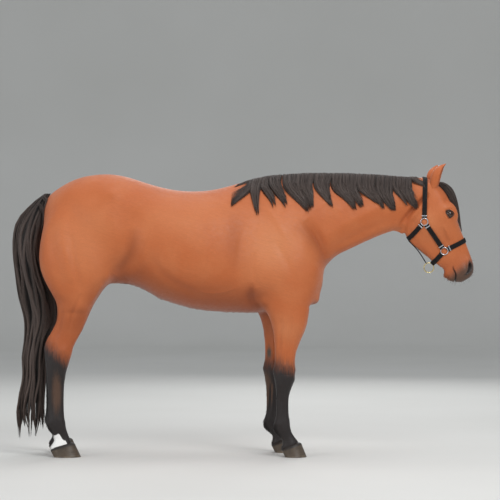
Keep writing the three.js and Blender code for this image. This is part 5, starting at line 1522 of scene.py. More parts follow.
def mane_strands(tree, sizes, random):
    """Every strand springs from past the crest, falls straight at first, and then bends more and more
    to the tip of its lock, as 0.2 t + 0.8 t^2.6, at its own height over the skin."""
    x, places, normals = mane_ground(tree)
    count, steps = sizes.mane_strands, 16
    widths = MANE_LOCKS[:, 1] - MANE_LOCKS[:, 0] + 0.012
    lock = random.choice(len(MANE_LOCKS), count, p=widths / widths.sum())
    begins, ends, tip_x, tip_z = MANE_LOCKS[lock].T
    share = random.uniform(0, 1, count)
    root_x = begins + (ends - begins) * share
    parts = np.clip(np.round((ends - begins) / 0.020), 2, 4)
    part = np.minimum(np.floor(share * parts), parts - 1)
    off = (part + 0.5) / parts - 0.5
    edge = np.abs(2 * (share * parts - part) - 1)[:, None]
    tip_x = tip_x + 0.026 * off + random.normal(0, 0.0018, count)
    tip_z = tip_z + 0.030 * np.abs(off) + 0.016 * ((lock * 7 + part * 3) % 5) / 5
    column = (tip_x - x[0]) / (x[1] - x[0])
    rows = np.tile(np.arange(MANE_GRID["rows"]), (count, 1))
    heights = read_grid(places, np.broadcast_to(column[:, None], rows.shape), rows)[..., 2]
    crest_row = heights.argmax(axis=1)
    short = np.clip(random.exponential(0.075, count), 0, 0.5)
    below = (heights > tip_z[:, None]) | (rows < crest_row[:, None])
    root_row = crest_row - random.uniform(0.5, 8.0, count)
    tip_row = root_row + (below.sum(axis=1) - root_row) * (1 - short)
    t = np.linspace(0, 1, steps)[None, :]
    row = root_row[:, None] + (tip_row - root_row)[:, None] * t
    gather = 0.20 * t + 0.80 * t**2.6
    flick = np.where(begins < 0.05, -1, 1)[:, None] * 0.021 * (t**5 - 0.9 * np.sin(math.pi * t) ** 2)
    bend = random.normal(0, 0.0035, count)[:, None] * np.sin(math.pi * t)
    bend = bend + 0.0035 * np.sin(2 * math.pi * (1.3 * t + lock[:, None] * 0.37)) * t
    path_x = root_x[:, None] + (tip_x - root_x)[:, None] * gather + bend + flick * (1 - short[:, None])
    column = (path_x - x[0]) / (x[1] - x[0])
    ground = read_grid(places, column, row)
    normal = unit(read_grid(normals, column, row))
    layer = random.uniform(0, 1, count)[:, None]
    thin = smoothstep(0.0, 0.06, root_x - 0.010) * (1 - 0.5 * smoothstep(0.93, 0.98, root_x))
    thin = thin[:, None]
    crest = crest_row[:, None]
    fallen = smoothstep(crest - 4, crest + 7, row)
    lift = 0.0035 * smoothstep(0, 0.10, t) * thin + 0.0105 * fallen * layer**0.8 * thin
    lift = lift * (1 - 0.5 * smoothstep(0.6, 1.0, t)) + 0.0006
    middle = 1 - (2 * share[:, None] - 1) ** 2
    lift = lift + 0.0045 * thin * smoothstep(0.2, 0.6, t) * middle * fallen
    lift = lift * (1 - 0.70 * edge**3 * smoothstep(0.02, 0.3, t))
    # The fourth value is painted shade for the tone: the strand's layer, much less at the edges of its
    # part, so that partings and deeper strands come out darker.
    return ground + normal * lift[..., None], normal, lock, layer[:, 0] - 5.0 * edge[:, 0] ** 3, root_x


def make_mane(tree, sizes, materials):
    random = np.random.default_rng(11)
    paths, normal, lock, layer, along = mane_strands(tree, sizes, random)
    count = len(paths)
    # Random tone per lock and per strand, with painted shade from the layer: deeper strands and the
    # partings between parts darker.
    tone_and_shade = np.clip(0.35 * random.uniform(0, 1, len(MANE_LOCKS))[lock] + 0.45 * random.uniform(0, 1, count)
                   + 0.2 * layer - 0.1, -0.6, 1)
    wide = sizes.strand * random.uniform(0.7, 1.4, count)
    roots = np.stack([(along - along.min()) / np.ptp(along), random.uniform(0, 1, count)], axis=1)
    half = count // 2
    for i, part in enumerate((slice(0, half), slice(half, count))):
        long_hair(f"mane_hair_{i + 1}", paths[part], normal[part], wide[part], tone_and_shade[part], materials,
                  ["mane"], roots[part])


FORELOCK = {"start": 0.030, "end": 0.345, "half": 0.040, "arch": 0.043}


def make_forelock(tree, sizes, materials):
    """The forelock springs from the poll between the ears, arches before the forehead and comes to a
    point beside the nose. Each strand has its share of the arch's height, sin(pi t^0.62) times
    (1 - 0.35 t); the lowest ones lie on the skin, and spread down the right side of the forehead."""
    random = np.random.default_rng(23)
    count, steps = sizes.forelock_strands, 18
    t = np.linspace(0, 1, steps)[None, :]
    short = np.clip(random.exponential(0.10, count), 0, 0.5)[:, None]
    place = t * (1 - short)
    aside = random.uniform(-1, 1, count)[:, None]
    along = FORELOCK["start"] + random.uniform(-0.014, 0.024, count)[:, None] * (1 - t)
    along = along + (FORELOCK["end"] - FORELOCK["start"]) * place
    half = FORELOCK["half"] * (0.60 + 1.3 * place - 1.87 * place**2) + 0.0012
    locks = 7
    lock = np.round((aside + 1) / 2 * (locks - 1))
    drawn = (2 * lock / (locks - 1) - 1) * 0.8
    pull = smoothstep(0.25, 1.0, t)
    sideways = (aside * (1 - pull) + (0.25 * aside + 0.75 * drawn) * pull) * half
    layer = random.uniform(0, 1, count)[:, None]
    sideways = sideways - 0.014 * smoothstep(0.05, 0.5, place) * (1 - 0.6 * layer)
    sideways = sideways + 0.003 * np.sin(6 * place + 2.1 * lock) * place
    arch = FORELOCK["arch"] * np.sin(math.pi * np.clip(place, 0, 1) ** 0.62) * (1 - 0.35 * place)
    slope = 1 - 0.45 * np.clip(sideways / FORELOCK["half"], -1, 1) ** 2
    lift = 0.0016 + (0.0035 + arch * slope) * layer * smoothstep(-0.02, 0.12, place)
    rows, columns, above = 60, 29, 0.25
    u, v = np.linspace(-0.01, 0.37, rows), np.linspace(-0.062, 0.050, columns)
    places = np.stack([np.repeat(u, columns), np.tile(v, rows), np.full(rows * columns, above)], axis=1)
    starts = from_head_frame(places)
    ground, _ = cast(tree, starts, np.tile(-HEAD_UP, (len(starts), 1)), above)
    ground = smoothed(ground.reshape(rows, columns, 3), 4)
    row = (along - u[0]) / (u[1] - u[0])
    column = (sideways - v[0]) / (v[1] - v[0])
    normal = np.tile(HEAD_UP, (count, steps, 1)) + np.array([0, 1, 0]) * (sideways[..., None] * 9)
    normal = unit(normal)
    paths = read_grid(ground, row, column) + normal * lift[..., None]
    # Random tone with painted shade: the strands that lie lower, nearer the skin, darker.
    tone_and_shade = np.clip(0.6 * random.uniform(0, 1, count) + 0.3 * layer[:, 0] - 0.1, 0, 1)
    wide = sizes.strand * random.uniform(0.6, 1.2, count)
    roots = np.stack([0.5 + 0.5 * aside[:, 0] * 0.98, random.uniform(0, 1, count)], axis=1)
    long_hair("forelock_hair", paths, normal, wide, tone_and_shade, materials, ["forelock"], roots)


# Wisps that lie over the croup beside the dock: root, middle and tip
WISPS = [((-1.104, 0.026, 1.425), (-1.084, 0.040, 1.396), (-1.098, 0.050, 1.350)),
         ((-1.122, 0.036, 1.385), (-1.098, 0.054, 1.322), (-1.116, 0.062, 1.246))]


def make_wisps(tree, sizes, materials):
    """Two short locks on each side of the dock. Their strands follow a curve, draw together to its
    tip, and lie 2 to 8 mm over the skin."""
    random = np.random.default_rng(53)
    steps, count = 16, 90
    t = np.linspace(0, 1, steps)[None, :]
    paths = []
    for side in SIDES.values():
        for wisp in WISPS:
            line = curve_through(np.array(wisp) * [1, side, 1], steps)[None]
            spread = random.normal(0, 0.0060, (count, 1, 3)) * (1 - t[..., None]) ** 0.6
            paths.append(line + spread)
    paths = np.concatenate(paths)
    total = len(paths)
    found = [tree.find_nearest(point)[:2] for point in paths.reshape(-1, 3).tolist()]
    skin, outer = (np.array([hit[i] for hit in found]).reshape(paths.shape) for i in (0, 1))
    gap = ((paths - skin) * outer).sum(axis=-1)
    lift = 0.002 + 0.006 * random.uniform(0, 1, (total, 1)) * np.sin(math.pi * (0.1 + 0.9 * t))
    paths = paths + outer * np.maximum(lift - gap, 0)[..., None]
    outer = unit(outer + np.sign(paths[..., 1:2]) * np.array([0, 1.5, 0]))
    wide = sizes.strand * random.uniform(0.6, 1.2, total)
    roots = random.uniform(0, 1, (total, 2))
    long_hair("dock_wisps", paths, outer, wide, random.uniform(0, 0.9, total), materials, [], roots)


# The tail's outline: at each height its back and front, and half its width
TAIL = np.array([
    (1.456, -1.092, -1.050, 0.024), (1.442, -1.124, -1.056, 0.036), (1.418, -1.164, -1.066, 0.046),
    (1.380, -1.206, -1.078, 0.054), (1.310, -1.255, -1.096, 0.062), (1.220, -1.278, -1.118, 0.072),
    (1.115, -1.279, -1.120, 0.080), (1.000, -1.266, -1.090, 0.085), (0.880, -1.250, -1.040, 0.086),
    (0.750, -1.218, -1.036, 0.082), (0.640, -1.216, -1.078, 0.078), (0.540, -1.229, -1.092, 0.076),
    (0.430, -1.226, -1.094, 0.074), (0.320, -1.252, -1.098, 0.072), (0.230, -1.270, -1.092, 0.066),
    (0.160, -1.268, -1.090, 0.056), (0.112, -1.256, -1.110, 0.040), (0.080, -1.248, -1.140, 0.026),
])
# Where the tail's locks come to a point, as (x, z), and the share of the locks that do so there
TAIL_TIPS = np.array([(-1.245, 0.086, 0.26), (-1.206, 0.150, 0.08), (-1.180, 0.098, 0.22),
                      (-1.150, 0.100, 0.20), (-1.112, 0.136, 0.14), (-1.086, 0.165, 0.10)])


def make_tail(sizes, materials):
    """Hair leaves the dock all the way down it and spreads to its own place in the tail's outline:
    at each height a strand stands at a fixed share of the section's half depth and half width. The
    strands of a lock draw together towards its tip."""
    random = np.random.default_rng(37)
    count, steps, locks = sizes.tail_strands, 28, 34
    outline = curve_through(TAIL[::-1], 200)
    read = lambda z, column: np.interp(z, outline[:, 0], outline[:, column])
    centre = (np.arange(locks) + random.uniform(-0.3, 0.3, locks)) * 2 * math.pi / locks
    reach = np.sqrt(random.uniform(0.30, 1.0, locks))
    lock = random.integers(0, locks, count)
    beside = random.normal(0, 0.085, count)
    angle = centre[lock] + beside
    share = np.clip(reach[lock] + random.normal(0, 0.14, count), 0.12, 1.0)
    outer = random.uniform(0, 1, count) < 0.55
    share = np.where(outer, np.maximum(share, random.uniform(0.86, 1.0, count)), share)
    leave = random.uniform(0, 1, count) ** 1.2
    root_z = 1.447 - 0.20 * leave
    order = np.argsort(np.argsort(np.cos(centre) * reach))
    tip = np.searchsorted(np.cumsum(TAIL_TIPS[:, 2]), (order + 0.5) / locks)
    end_x = TAIL_TIPS[tip, 0] + random.normal(0, 0.003, locks)
    short = np.clip(random.exponential(0.026, count), 0, 0.42)
    tip_z = TAIL_TIPS[tip, 1][lock] + random.uniform(-0.006, 0.010, locks)[lock] + short
    t = np.linspace(0, 1, steps)[None, :]
    fall = 0.35 * t + 0.65 * t**1.15
    z = root_z[:, None] + (tip_z - root_z)[:, None] * fall
    spread = smoothstep(0.0, 0.16, t)
    share_here = share[:, None] * (0.52 + 0.48 * spread)
    groove = 0.13 * np.clip((beside / 0.13) ** 2, 0, 1.4)
    share_here = share_here * (1 - groove[:, None] * smoothstep(0.04, 0.25, t))
    draw = smoothstep(0.74, 1.0, t)
    wave = 0.17 * np.sin(7.0 * z + 1.7 * lock[:, None]) + 0.05 * np.sin(19.0 * z + lock[:, None] * 2.9)
    angle_here = angle[:, None] + (centre[lock] - angle)[:, None] * 0.90 * draw + wave
    share_here = share_here + (reach[lock][:, None] * 0.95 - share_here) * 0.80 * draw**2
    back, front, half = read(z, 1), read(z, 2), read(z, 3)
    x = (back + front) / 2 + (front - back) / 2 * share_here * np.cos(angle_here)
    low = 1 - smoothstep(0.10, 0.27, z)
    x = x + (end_x[lock][:, None] - x) * 0.85 * low**1.3
    between_legs = smoothstep(-1.110, -1.055, x) * smoothstep(0.45, 0.60, z) * smoothstep(1.12, 0.98, z)
    y = half * share_here * np.sin(angle_here) * (1 - 0.72 * between_legs)
    y = y * (1 - 0.45 * low)
    paths = np.stack([x, y, z], axis=-1)
    normal = unit(np.stack([np.cos(angle_here), np.sin(angle_here), 0.15 + 0 * z], axis=-1))
    # Random tone per lock and per strand, and painted shade: strands deeper inside the tail and in the
    # grooves between its locks are darker.
    tone_and_shade = np.clip(0.45 * random.uniform(0, 1, locks)[lock] + 0.4 * random.uniform(0, 1, count)
                   + 0.15 * (share - 0.5) - 0.9 * groove**2 / 0.0169, -0.6, 1)
    wide = 1.35 * sizes.strand * random.uniform(0.6, 1.4, count)
    roots = np.stack([(angle / (2 * math.pi)) % 1, leave], axis=1)
    for i, part in enumerate(np.array_split(np.arange(count), 3)):
        long_hair(f"tail_hair_{i + 1}", paths[part], normal[part], wide[part], tone_and_shade[part], materials,
                  ["tail"], roots[part], 0.5)


# ---- tufts, lashes and whiskers
def unwrap(points):
    """A place on a flat map of the skin for each point: the body, the head and each leg unrolled like
    cylinders, side by side. The body lies along the middle of the map, the head above, legs below."""
    x, y, z = points.T
    along, aside, up = head_frame(points).T
    turn = lambda a, b: (np.arctan2(a, b) / (2 * math.pi) + 0.5)
    body = np.stack([0.01 + 0.98 * (x + 1.18) / 2.30, 0.35 + 0.30 * turn(y, z - 1.16)], axis=1)
    head = np.stack([0.01 + 0.48 * along / 0.62, 0.68 + 0.30 * turn(aside, up + 0.10)], axis=1)
    row = 2 * (x < WAIST) + (y > 0)
    at = home(points)
    middle = np.where(x > WAIST, 0.225, -1.0)
    leg = np.stack([0.01 + 0.25 * row + 0.23 * turn(np.abs(y) - 0.136, at[:, 0] - middle),
                    0.01 + 0.31 * z / 0.95], axis=1)
    places = np.where((leg_share(points) > 0.5)[:, None], leg, body)
    return np.clip(np.where((head_share(points) > 0.5)[:, None], head, places), 0, 1)


def hair_way(points, normals):
    """The way the short hair lies: back and down on the body, down the legs, down the face."""
    body, leg = np.array([-0.93, 0.0, -0.36]), np.array([-0.10, 0.0, -1.0])
    way = body + (leg - body) * leg_share(points)[:, None]
    way = way + (HEAD_ALONG - way) * head_share(points)[:, None]
    return unit(way - (way * normals).sum(axis=1, keepdims=True) * normals)


def tuft_places(points, normals):
    """Where tufts break the form: for each place its weight over the skin, how many tufts it has,
    how long they are and how steeply they stand (0 lies flat, 1 stands up)."""
    at = home(points)
    x, y, z = at.T
    along, aside, up = head_frame(points).T
    head, body = head_share(points), 1 - head_share(points)
    fore, hind = (x > WAIST) * body, (x <= WAIST) * body
    leg = leg_share(points) * body
    outer = (normals[:, 1] * np.sign(y) > -0.5) * 1.0
    backwards = smoothstep(0.25, 0.85, -normals[:, 0])
    facing_down = smoothstep(0.55, 0.95, -normals[:, 2])
    middle = bell(points[:, 1], 0, 0.02)
    coronet = lambda front, back: (z < 0.040 + 0.042 * (x - back) / (front - back)) * leg
    rows = {
        "feather": (leg * backwards * bell(z, 0.150, 0.026), 2600, 0.024, 0.16),
        "cannon": (leg * backwards * bell(z, 0.30, 0.09), 1100, 0.012, 0.10),
        "coronet": (fore * coronet(0.317, 0.208) + hind * coronet(-0.925, -1.058), 2800, 0.012, 0.06),
        "heel": (leg * backwards * bell(z, 0.07, 0.03), 400, 0.010, 0.12),
        "elbow": (body * bell(x, 0.10, 0.03) * bell(z, 0.845, 0.03) * outer, 260, 0.018, 0.20),
        "flank": (body * bell(x, -0.66, 0.05) * bell(z, 0.93, 0.045), 420, 0.018, 0.15),
        "belly": (body * facing_down * middle * (z > 0.7) * (x < 0.42), 1100, 0.018, 0.14),
        "breast": (body * bell(x, 0.43, 0.05) * bell(z, 0.93, 0.07) * middle, 320, 0.016, 0.15),
        "buttock": (body * bell(x, -1.07, 0.07) * smoothstep(0.2, 0.8, backwards)
                    * bell(np.abs(y), 0.035, 0.03) * (z > 0.85) * (z < 1.36), 700, 0.018, 0.10),
        "jaw": (head * smoothstep(0.6, 1.0, -(normals @ HEAD_UP)) * bell(np.abs(aside), 0, 0.05)
                * (along > 0.20) * (along < 0.50), 600, 0.013, 0.20),
        "chin": (head * bell(along, 0.515, 0.022) * bell(up, -0.175, 0.02), 260, 0.013, 0.35),
    }
    return rows


def tuft_mesh(name, roots, ways, normals, longs, lifts, width, materials, random, steps=4):
    """Short tufts: each bends from its root's way up by its lift and runs out to a point."""
    count = len(roots)
    t = np.linspace(0, 1, steps)[None, :, None]
    rise = lifts[:, None, None] * (t - 0.35 * t * t)
    paths = roots[:, None] + longs[:, None, None] * (ways[:, None] * t + normals[:, None] * rise)
    paths = paths - normals[:, None] * 0.0008 * (1 - t)
    across = np.tile(unit(np.cross(ways, normals))[:, None], (1, steps, 1))
    out = np.tile(normals[:, None], (1, steps, 1))
    piece = strand_mesh(name, paths, across, out, width * random.uniform(0.7, 1.3, count),
                        width * 0.4 * np.ones(count), random.uniform(0, 1, count), materials["coat"], [],
                        unwrap(roots))
    per = 3 * (steps - 1) + 1
    masks = coat_masks(roots, normals)
    give_masks(piece.data, {key: np.repeat(values, per) for key, values in masks.items()})
    piece.data.normals_split_custom_set_from_vertices(np.repeat(normals, per, axis=0))


def make_tufts(points, normals, materials):
    """Tufts where the short coat breaks the form. Their roots are points of the skin picked by
    weight, moved a little, and their way is the coat's with some scatter."""
    random = np.random.default_rng(5)
    picked, long, lift = [], [], []
    for weight, count, size, steep in tuft_places(points, normals).values():
        weight = np.where(weight > 0.05, weight, 0)
        chosen = random.choice(len(points), count, p=weight / weight.sum())
        picked.append(chosen)
        share = 0.4 + 0.6 * np.sqrt(weight[chosen]).clip(0, 1)
        long.append(size * random.uniform(0.6, 1.25, count) * share)
        lift.append(steep * random.uniform(0.4, 1.4, count))
    picked, long, lift = (np.concatenate(values) for values in (picked, long, lift))
    roots = points[picked] + random.normal(0, 0.0012, (len(picked), 3))
    normal = normals[picked]
    ways = hair_way(roots, normal) + random.normal(0, 0.13, (len(picked), 3))
    ways = unit(ways - (ways * normal).sum(axis=1, keepdims=True) * normal)
    tuft_mesh("coat_tufts", roots, ways, normal, long, lift, 0.0013, materials, random)


def make_ear_hair(materials):
    """Fine hair inside the ears, which grows from the cup's wall towards its mouth, and a fringe
    along the rims."""
    random = np.random.default_rng(9)
    roots, ways, normals = [], [], []
    for side in SIDES.values():
        base, tip, axis, opens, _ = ear_frame(side)
        sheet = ear_sheet(side, **EAR_GRID)
        count = 3200
        row = random.integers(6, 52, count)
        rim = random.uniform(0, 1, count) < 0.45
        first_rim = random.uniform(0, 1, count) < 0.5
        column = np.where(first_rim, random.integers(30, 33, count), random.integers(57, 60, count))
        column = np.where(rim, column, random.integers(32, 58, count))
        mirror = np.array([1, side, 1])
        place = sheet[row, column]
        up = EAR["root"] + (1 - EAR["root"]) * row / (EAR_GRID["rows"] - 1)
        middle = base + np.linalg.norm(tip - base) * up[:, None] * axis
        inwards = unit((middle * mirror) - place)
        roots.append(place)
        lean = 0.30 * opens * mirror + 1.0 * axis * mirror - 0.25 * inwards * rim[:, None]
        ways.append(unit(lean + random.normal(0, 0.12, (count, 3))))
        normals.append(np.tile(opens * mirror, (count, 1)))
    roots, ways, normals = (np.concatenate(values) for values in (roots, ways, normals))
    long = random.uniform(0.004, 0.010, len(roots))
    lift = np.full(len(roots), 0.12)
    tuft_mesh("ear_hair", roots, ways, normals, long, lift, 0.0006, materials, random, 3)


def make_lashes(tree, materials):
    """Lashes along the upper lids, a few on the lower ones, and whiskers round the muzzle and chin."""
    random = np.random.default_rng(31)
    curve = closed_curve(LIDS, 360)
    roots, ways, longs = [], [], []
    for side in SIDES.values():
        upper = random.choice(np.nonzero(curve[:, 1] > -0.002)[0], 130)
        lower = random.choice(np.nonzero(curve[:, 1] < -0.008)[0], 30)
        for chosen, size, rise in ((upper, 0.013, 0.35), (lower, 0.007, -0.2)):
            a, b = curve[chosen].T * 1.03
            out = np.sqrt(np.maximum((EYEBALL + 0.7 * LID_THICK) ** 2 - a * a - b * b, 0))
            spread = np.stack([0.20 + 9 * a, rise + 6 * b, np.ones_like(a)], axis=1)
            spread = unit(spread + random.normal(0, 0.10, spread.shape))
            root = from_eye(np.stack([a, b, out], axis=1), side)
            roots.append(root)
            ways.append(unit(from_eye(np.stack([a, b, out], axis=1) + spread, side) - root))
            longs.append(size * random.uniform(0.7, 1.2, len(a)) * (0.5 + 0.5 * bell(a, 0.004, 0.014)))
    count = 80
    place = np.stack([random.uniform(0.500, 0.592, count), random.uniform(-0.05, 0.05, count),
                      random.uniform(-0.19, -0.03, count)], axis=1)
    centre = from_head_frame([0.53, 0.0, -0.09])
    aim = unit(from_head_frame(place) - centre)
    roots.append(cast(tree, np.tile(centre, (count, 1)), aim)[0])
    ways.append(unit(aim + 0.35 * HEAD_ALONG + random.normal(0, 0.15, (count, 3))))
    longs.append(random.uniform(0.008, 0.022, count))
    roots, ways, longs = (np.concatenate(values) for values in (roots, ways, longs))
    steps = 6
    t = np.linspace(0, 1, steps)[None, :, None]
    droop = np.array([0, 0, -0.18]) * t**2
    paths = roots[:, None] + longs[:, None, None] * (ways[:, None] * t + droop)
    long_hair("lashes_and_whiskers", paths, [0.3, 0.5, 0.8], np.full(len(roots), 0.00042),
              np.zeros(len(roots)), materials, [], unwrap(roots), 1.0)


# ---- halter
# Where the halter lies at the horse's middle, as (x, z)
UPPER_RING = (0.996, 1.289)
LOWER_RING = (1.109, 1.129)
CROWN = (1.004, 1.545)
BRIDGE = (1.229, 1.193)
THROAT = (0.903, 1.177)
LEAD_RING = (1.028, 1.036)
STRAP_STEP = 0.004  # from one section of a strap to the next
STITCH_STEP = 0.0045
BAND_POINTS = 161  # from one side of the head to the other
KEEPER_AT = 4  # sections of a strap from its end to its keeper
RING_LIFT = 0.0045  # of the side rings' middles over the skin


def in_middle(place):
    return np.array([place[0], 0.0, place[1]])


def comes_out(tree, start, ways, lift):
    """Where rays from inside the head leave its skin, lifted over it along the skin's normal."""
    places, normals = cast(tree, np.tile(start, (len(ways), 1)), ways)
    normals *= np.sign((normals * ways).sum(axis=1, keepdims=True))
    return places + normals * lift, normals


def band_round(tree, start, towards, lift):
    """The way of a strap round the head, in the plane through two places and straight sideways."""
    ahead = unit(in_middle(towards) - in_middle(start))
    angle = np.radians(np.linspace(-90, 90, BAND_POINTS))[:, None]
    ways = ahead * np.cos(angle) + np.array([0, 1, 0]) * np.sin(angle)
    return comes_out(tree, in_middle(start), ways, lift)[0]


def side_line(tree, start, end, side, lift):
    """The way of a strap down one side of the head, between two places."""
    t = np.linspace(0, 1, 60)[:, None]
    starts = in_middle(start) * (1 - t) + in_middle(end) * t
    ways = np.tile([0.0, side, 0.0], (60, 1))
    places, normals = cast(tree, starts, ways)
    return places + normals * lift * np.sign(normals[:, 1:2] * side)


def even_path(points, cut_start=0.0, cut_end=0.0):
    """Points at even steps along a line of points, with a length left off each end."""
    gaps = np.linalg.norm(np.diff(points, axis=0), axis=1)
    run = np.concatenate([[0], np.cumsum(gaps)])
    count = max(4, int(round((run[-1] - cut_start - cut_end) / STRAP_STEP)) + 1)
    at = np.linspace(cut_start, run[-1] - cut_end, count)
    return np.stack([np.interp(at, run, points[:, i]) for i in range(3)], axis=1)


def eased(points, times):
    """A line of points with its kinks taken out: each drawn halfway to the middle of its neighbours."""
    for _ in range(times):
        middle = (points[:-2] + points[2:]) / 2
        points = points.copy()
        points[1:-1] = 0.5 * points[1:-1] + 0.5 * middle
    return points


def over_hollows(tree, way, lift):
    """A strap's way pulled tight: eased again and again, and put back out to its lift wherever the
    skin comes nearer than that."""
    for _ in range(8):
        way = eased(way, 24)
        found = [tree.find_nearest(point) for point in way.tolist()]
        normals = np.array([hit[1] for hit in found])
        gap = ((way - np.array([hit[0] for hit in found])) * normals).sum(axis=1)
        way = way + normals * np.maximum(lift - gap, 0)[:, None]
    return eased(way, 4)


def strap_frames(path, normals):
    ahead = unit(np.gradient(path, axis=0))
    across = unit(np.cross(ahead, normals))
    return ahead, across, unit(np.cross(across, ahead))


def skin_normals(tree, points):
    """The skin's normals nearest to points, eased along the line."""
    found = np.array([tree.find_nearest(point)[1] for point in points.tolist()])
    return unit(eased(found, 60))


def strap_rings(path, across, out, width, thick):
    """A strap's section carried along its way, and how far across each of its points lies: a
    superellipse, |cos|^0.42 across and |sin|^0.55 thick."""
    angle = np.linspace(0, 2 * math.pi, 28, endpoint=False)
    c, s = np.cos(angle), np.sin(angle)
    a = np.sign(c) * np.abs(c) ** 0.42 * width / 2
    b = np.sign(s) * np.abs(s) ** 0.55 * thick / 2
    return path[:, None] + across[:, None] * a[None, :, None] + out[:, None] * b[None, :, None], a


def make_strap(name, path, normals, sizes, materials, node, width=None, thick=None):
    """Webbing along a way, with a map that counts metres along and across it, and its stitching."""
    width, thick = width or sizes.strap, thick or sizes.thickness
    _, across, out = strap_frames(path, normals)
    centre = path + out * thick / 2
    rings, a = strap_rings(centre, across, out, width, thick)
    points, faces = capped(rings)
    run = np.concatenate([[0], np.cumsum(np.linalg.norm(np.diff(path, axis=0), axis=1))])
    places = np.stack([np.repeat(run, len(a)), np.tile(a, len(run))], axis=1)
    piece = new_piece(name, points, faces, materials["webbing"], [node] if node else [])
    give_map(piece.data, "Strap", np.concatenate([places, [[0, 0], [run[-1], 0]]]))
    stitch(name + "_stitching", centre, across, out, width, thick, materials, run[-1])


def stitch(name, centre, across, out, width, thick, materials, long):
    """Stitches down both edges: short bars of thread, each a flattened little ball that lies on the
    outer face, every 4.5 mm."""
    count = int(long / STITCH_STEP)
    at = (np.arange(count) + 0.5) / count * (len(centre) - 1)
    i = np.minimum(at.astype(int), len(centre) - 2)
    part = (at - i)[:, None]
    read = lambda values: values[i] * (1 - part) + values[i + 1] * part
    c, w, o = read(centre), unit(read(across)), unit(read(out))
    d = np.cross(o, w)
    edge = np.array([-1.0, 1.0])[:, None, None] * (width / 2 - 0.0032)
    middle = ((c + o * thick * 0.47)[None] + w[None] * edge).reshape(-1, 3)
    d, w, o = (np.tile(way, (2, 1)) for way in (d, w, o))
    ahead = np.array([-1, -0.7, 0, 0.7, 1])
    round_ = np.sqrt(np.clip(1 - ahead**2, 0, 1))
    angle = np.linspace(0, 2 * math.pi, 6, endpoint=False)
    ring = (middle[:, None, None] + d[:, None, None] * (ahead * 0.00155)[None, :, None, None]
            + w[:, None, None] * (round_[:, None] * np.cos(angle) * 0.00045)[None, :, :, None]
            + o[:, None, None] * (round_[:, None] * np.sin(angle) * 0.00040)[None, :, :, None])
    total = len(ring)
    points = np.concatenate([ring[:, 1:-1].reshape(total, -1, 3), ring[:, [0, -1], 0]], axis=1)
    one = tube_faces(3, 6)
    faces = (one[None] + points.shape[1] * np.arange(total)[:, None, None]).reshape(-1, 3)
    new_piece(name, points.reshape(-1, 3), faces, materials["thread"], [])


def wire_loop(name, rings, material, node):
    """A closed wire: rings of points one after another, the last joined to the first."""
    rows, around = rings.shape[:2]
    quads = grid_faces(rows + 1, around, True) % (rows * around)
    points = rings.reshape(-1, 3)
    faces = outwards(points, np.concatenate([quads[:, :3], quads[:, [0, 2, 3]]]))
    return new_piece(name, points, faces, material, [node] if node else [])


def make_ring(name, middle, normal, radius, wire, material, node):
    """A round ring of wire: a circle carried round a circle."""
    first = unit(np.cross(normal, [0.3, 0.2, 0.9]))
    second = np.cross(normal, first)
    turn = np.linspace(0, 2 * math.pi, 72, endpoint=False)[:, None, None]
    round_ = np.linspace(0, 2 * math.pi, 18, endpoint=False)[None, :, None]
    way = first * np.cos(turn) + second * np.sin(turn)
    rings = middle + way * (radius + wire * np.cos(round_)) + normal * wire * np.sin(round_)
    wire_loop(name, rings, material, node)


def make_keeper(name, middle, ahead, across, out, width, thick, material):
    """A metal keeper round a strap: a wire with a flat section, carried round a rounded oblong."""
    angle = np.linspace(0, 2 * math.pi, 40, endpoint=False)
    c, s = np.cos(angle), np.sin(angle)
    a = np.sign(c) * np.abs(c) ** 0.35 * (width / 2 + 0.0012)
    b = np.sign(s) * np.abs(s) ** 0.6 * (thick / 2 + 0.0011)
    way = middle + across * a[:, None] + out * b[:, None]
    outward = unit(across * (c * 0.5)[:, None] + out * s[:, None])
    section = np.linspace(0, 2 * math.pi, 12, endpoint=False)
    flat = np.sign(np.cos(section)) * np.abs(np.cos(section)) ** 0.6 * 0.0030
    high = np.sin(section) * 0.0011
    rings = way[:, None] + ahead * flat[None, :, None] + outward[:, None] * high[None, :, None]
    wire_loop(name, rings, material, None)


def make_skin_straps(tree, sizes, materials):
    """The straps that lie on the skin from ring to ring. They end at the rings' wire, and a metal
    keeper stands near each end."""
    lift = sizes.lift
    clear = sizes.ring_radius - sizes.ring_wire
    straps = {
        "halter_crown_strap": band_round(tree, UPPER_RING, CROWN, lift),
        "halter_throat_strap": band_round(tree, UPPER_RING, THROAT, lift),
        "halter_noseband": band_round(tree, LOWER_RING, BRIDGE, lift),
    }
    for name, side in SIDES.items():
        straps[f"halter_cheek_strap_{name}"] = side_line(tree, UPPER_RING, LOWER_RING, side, lift)
    for node, way in straps.items():
        way = even_path(over_hollows(tree, even_path(way), lift), clear, clear)
        normals = skin_normals(tree, way)
        make_strap(node + "_webbing", way, normals, sizes, materials, node)
        ahead, across, out = strap_frames(way, normals)
        for end, i in (("a", KEEPER_AT), ("b", len(way) - 1 - KEEPER_AT)):
            middle = way[i] + out[i] * sizes.thickness / 2
            make_keeper(f"{node}_keeper_{end}", middle, ahead[i], across[i], out[i], sizes.strap,
                        sizes.thickness, materials["steel"])


def make_chin_strap(tree, sizes, materials):
    """The strap that hangs from the lower rings, leaves the jaw and meets in the lead ring: its right
    half, and that half mirrored."""
    rings, lead = in_middle(LOWER_RING), in_middle(LEAD_RING)
    top = lead + sizes.lead_ring_radius * unit(rings - lead)
    chin = band_round(tree, LOWER_RING, LEAD_RING, sizes.lift)
    right = chin[chin[:, 1] < -0.028]
    half = np.concatenate([right, [top + [0.005, -0.010, 0.006], top + [0.0, -0.0035, 0.0]]])
    half = eased(even_path(half, sizes.ring_radius - sizes.ring_wire), 14)
    way = even_path(np.concatenate([half, (half * [1, -1, 1])[::-1]]))
    normals = unit((way - rings) * [1, 3, 1])
    make_strap("halter_chin_strap_webbing", way, normals, sizes, materials, "halter_chin_strap")


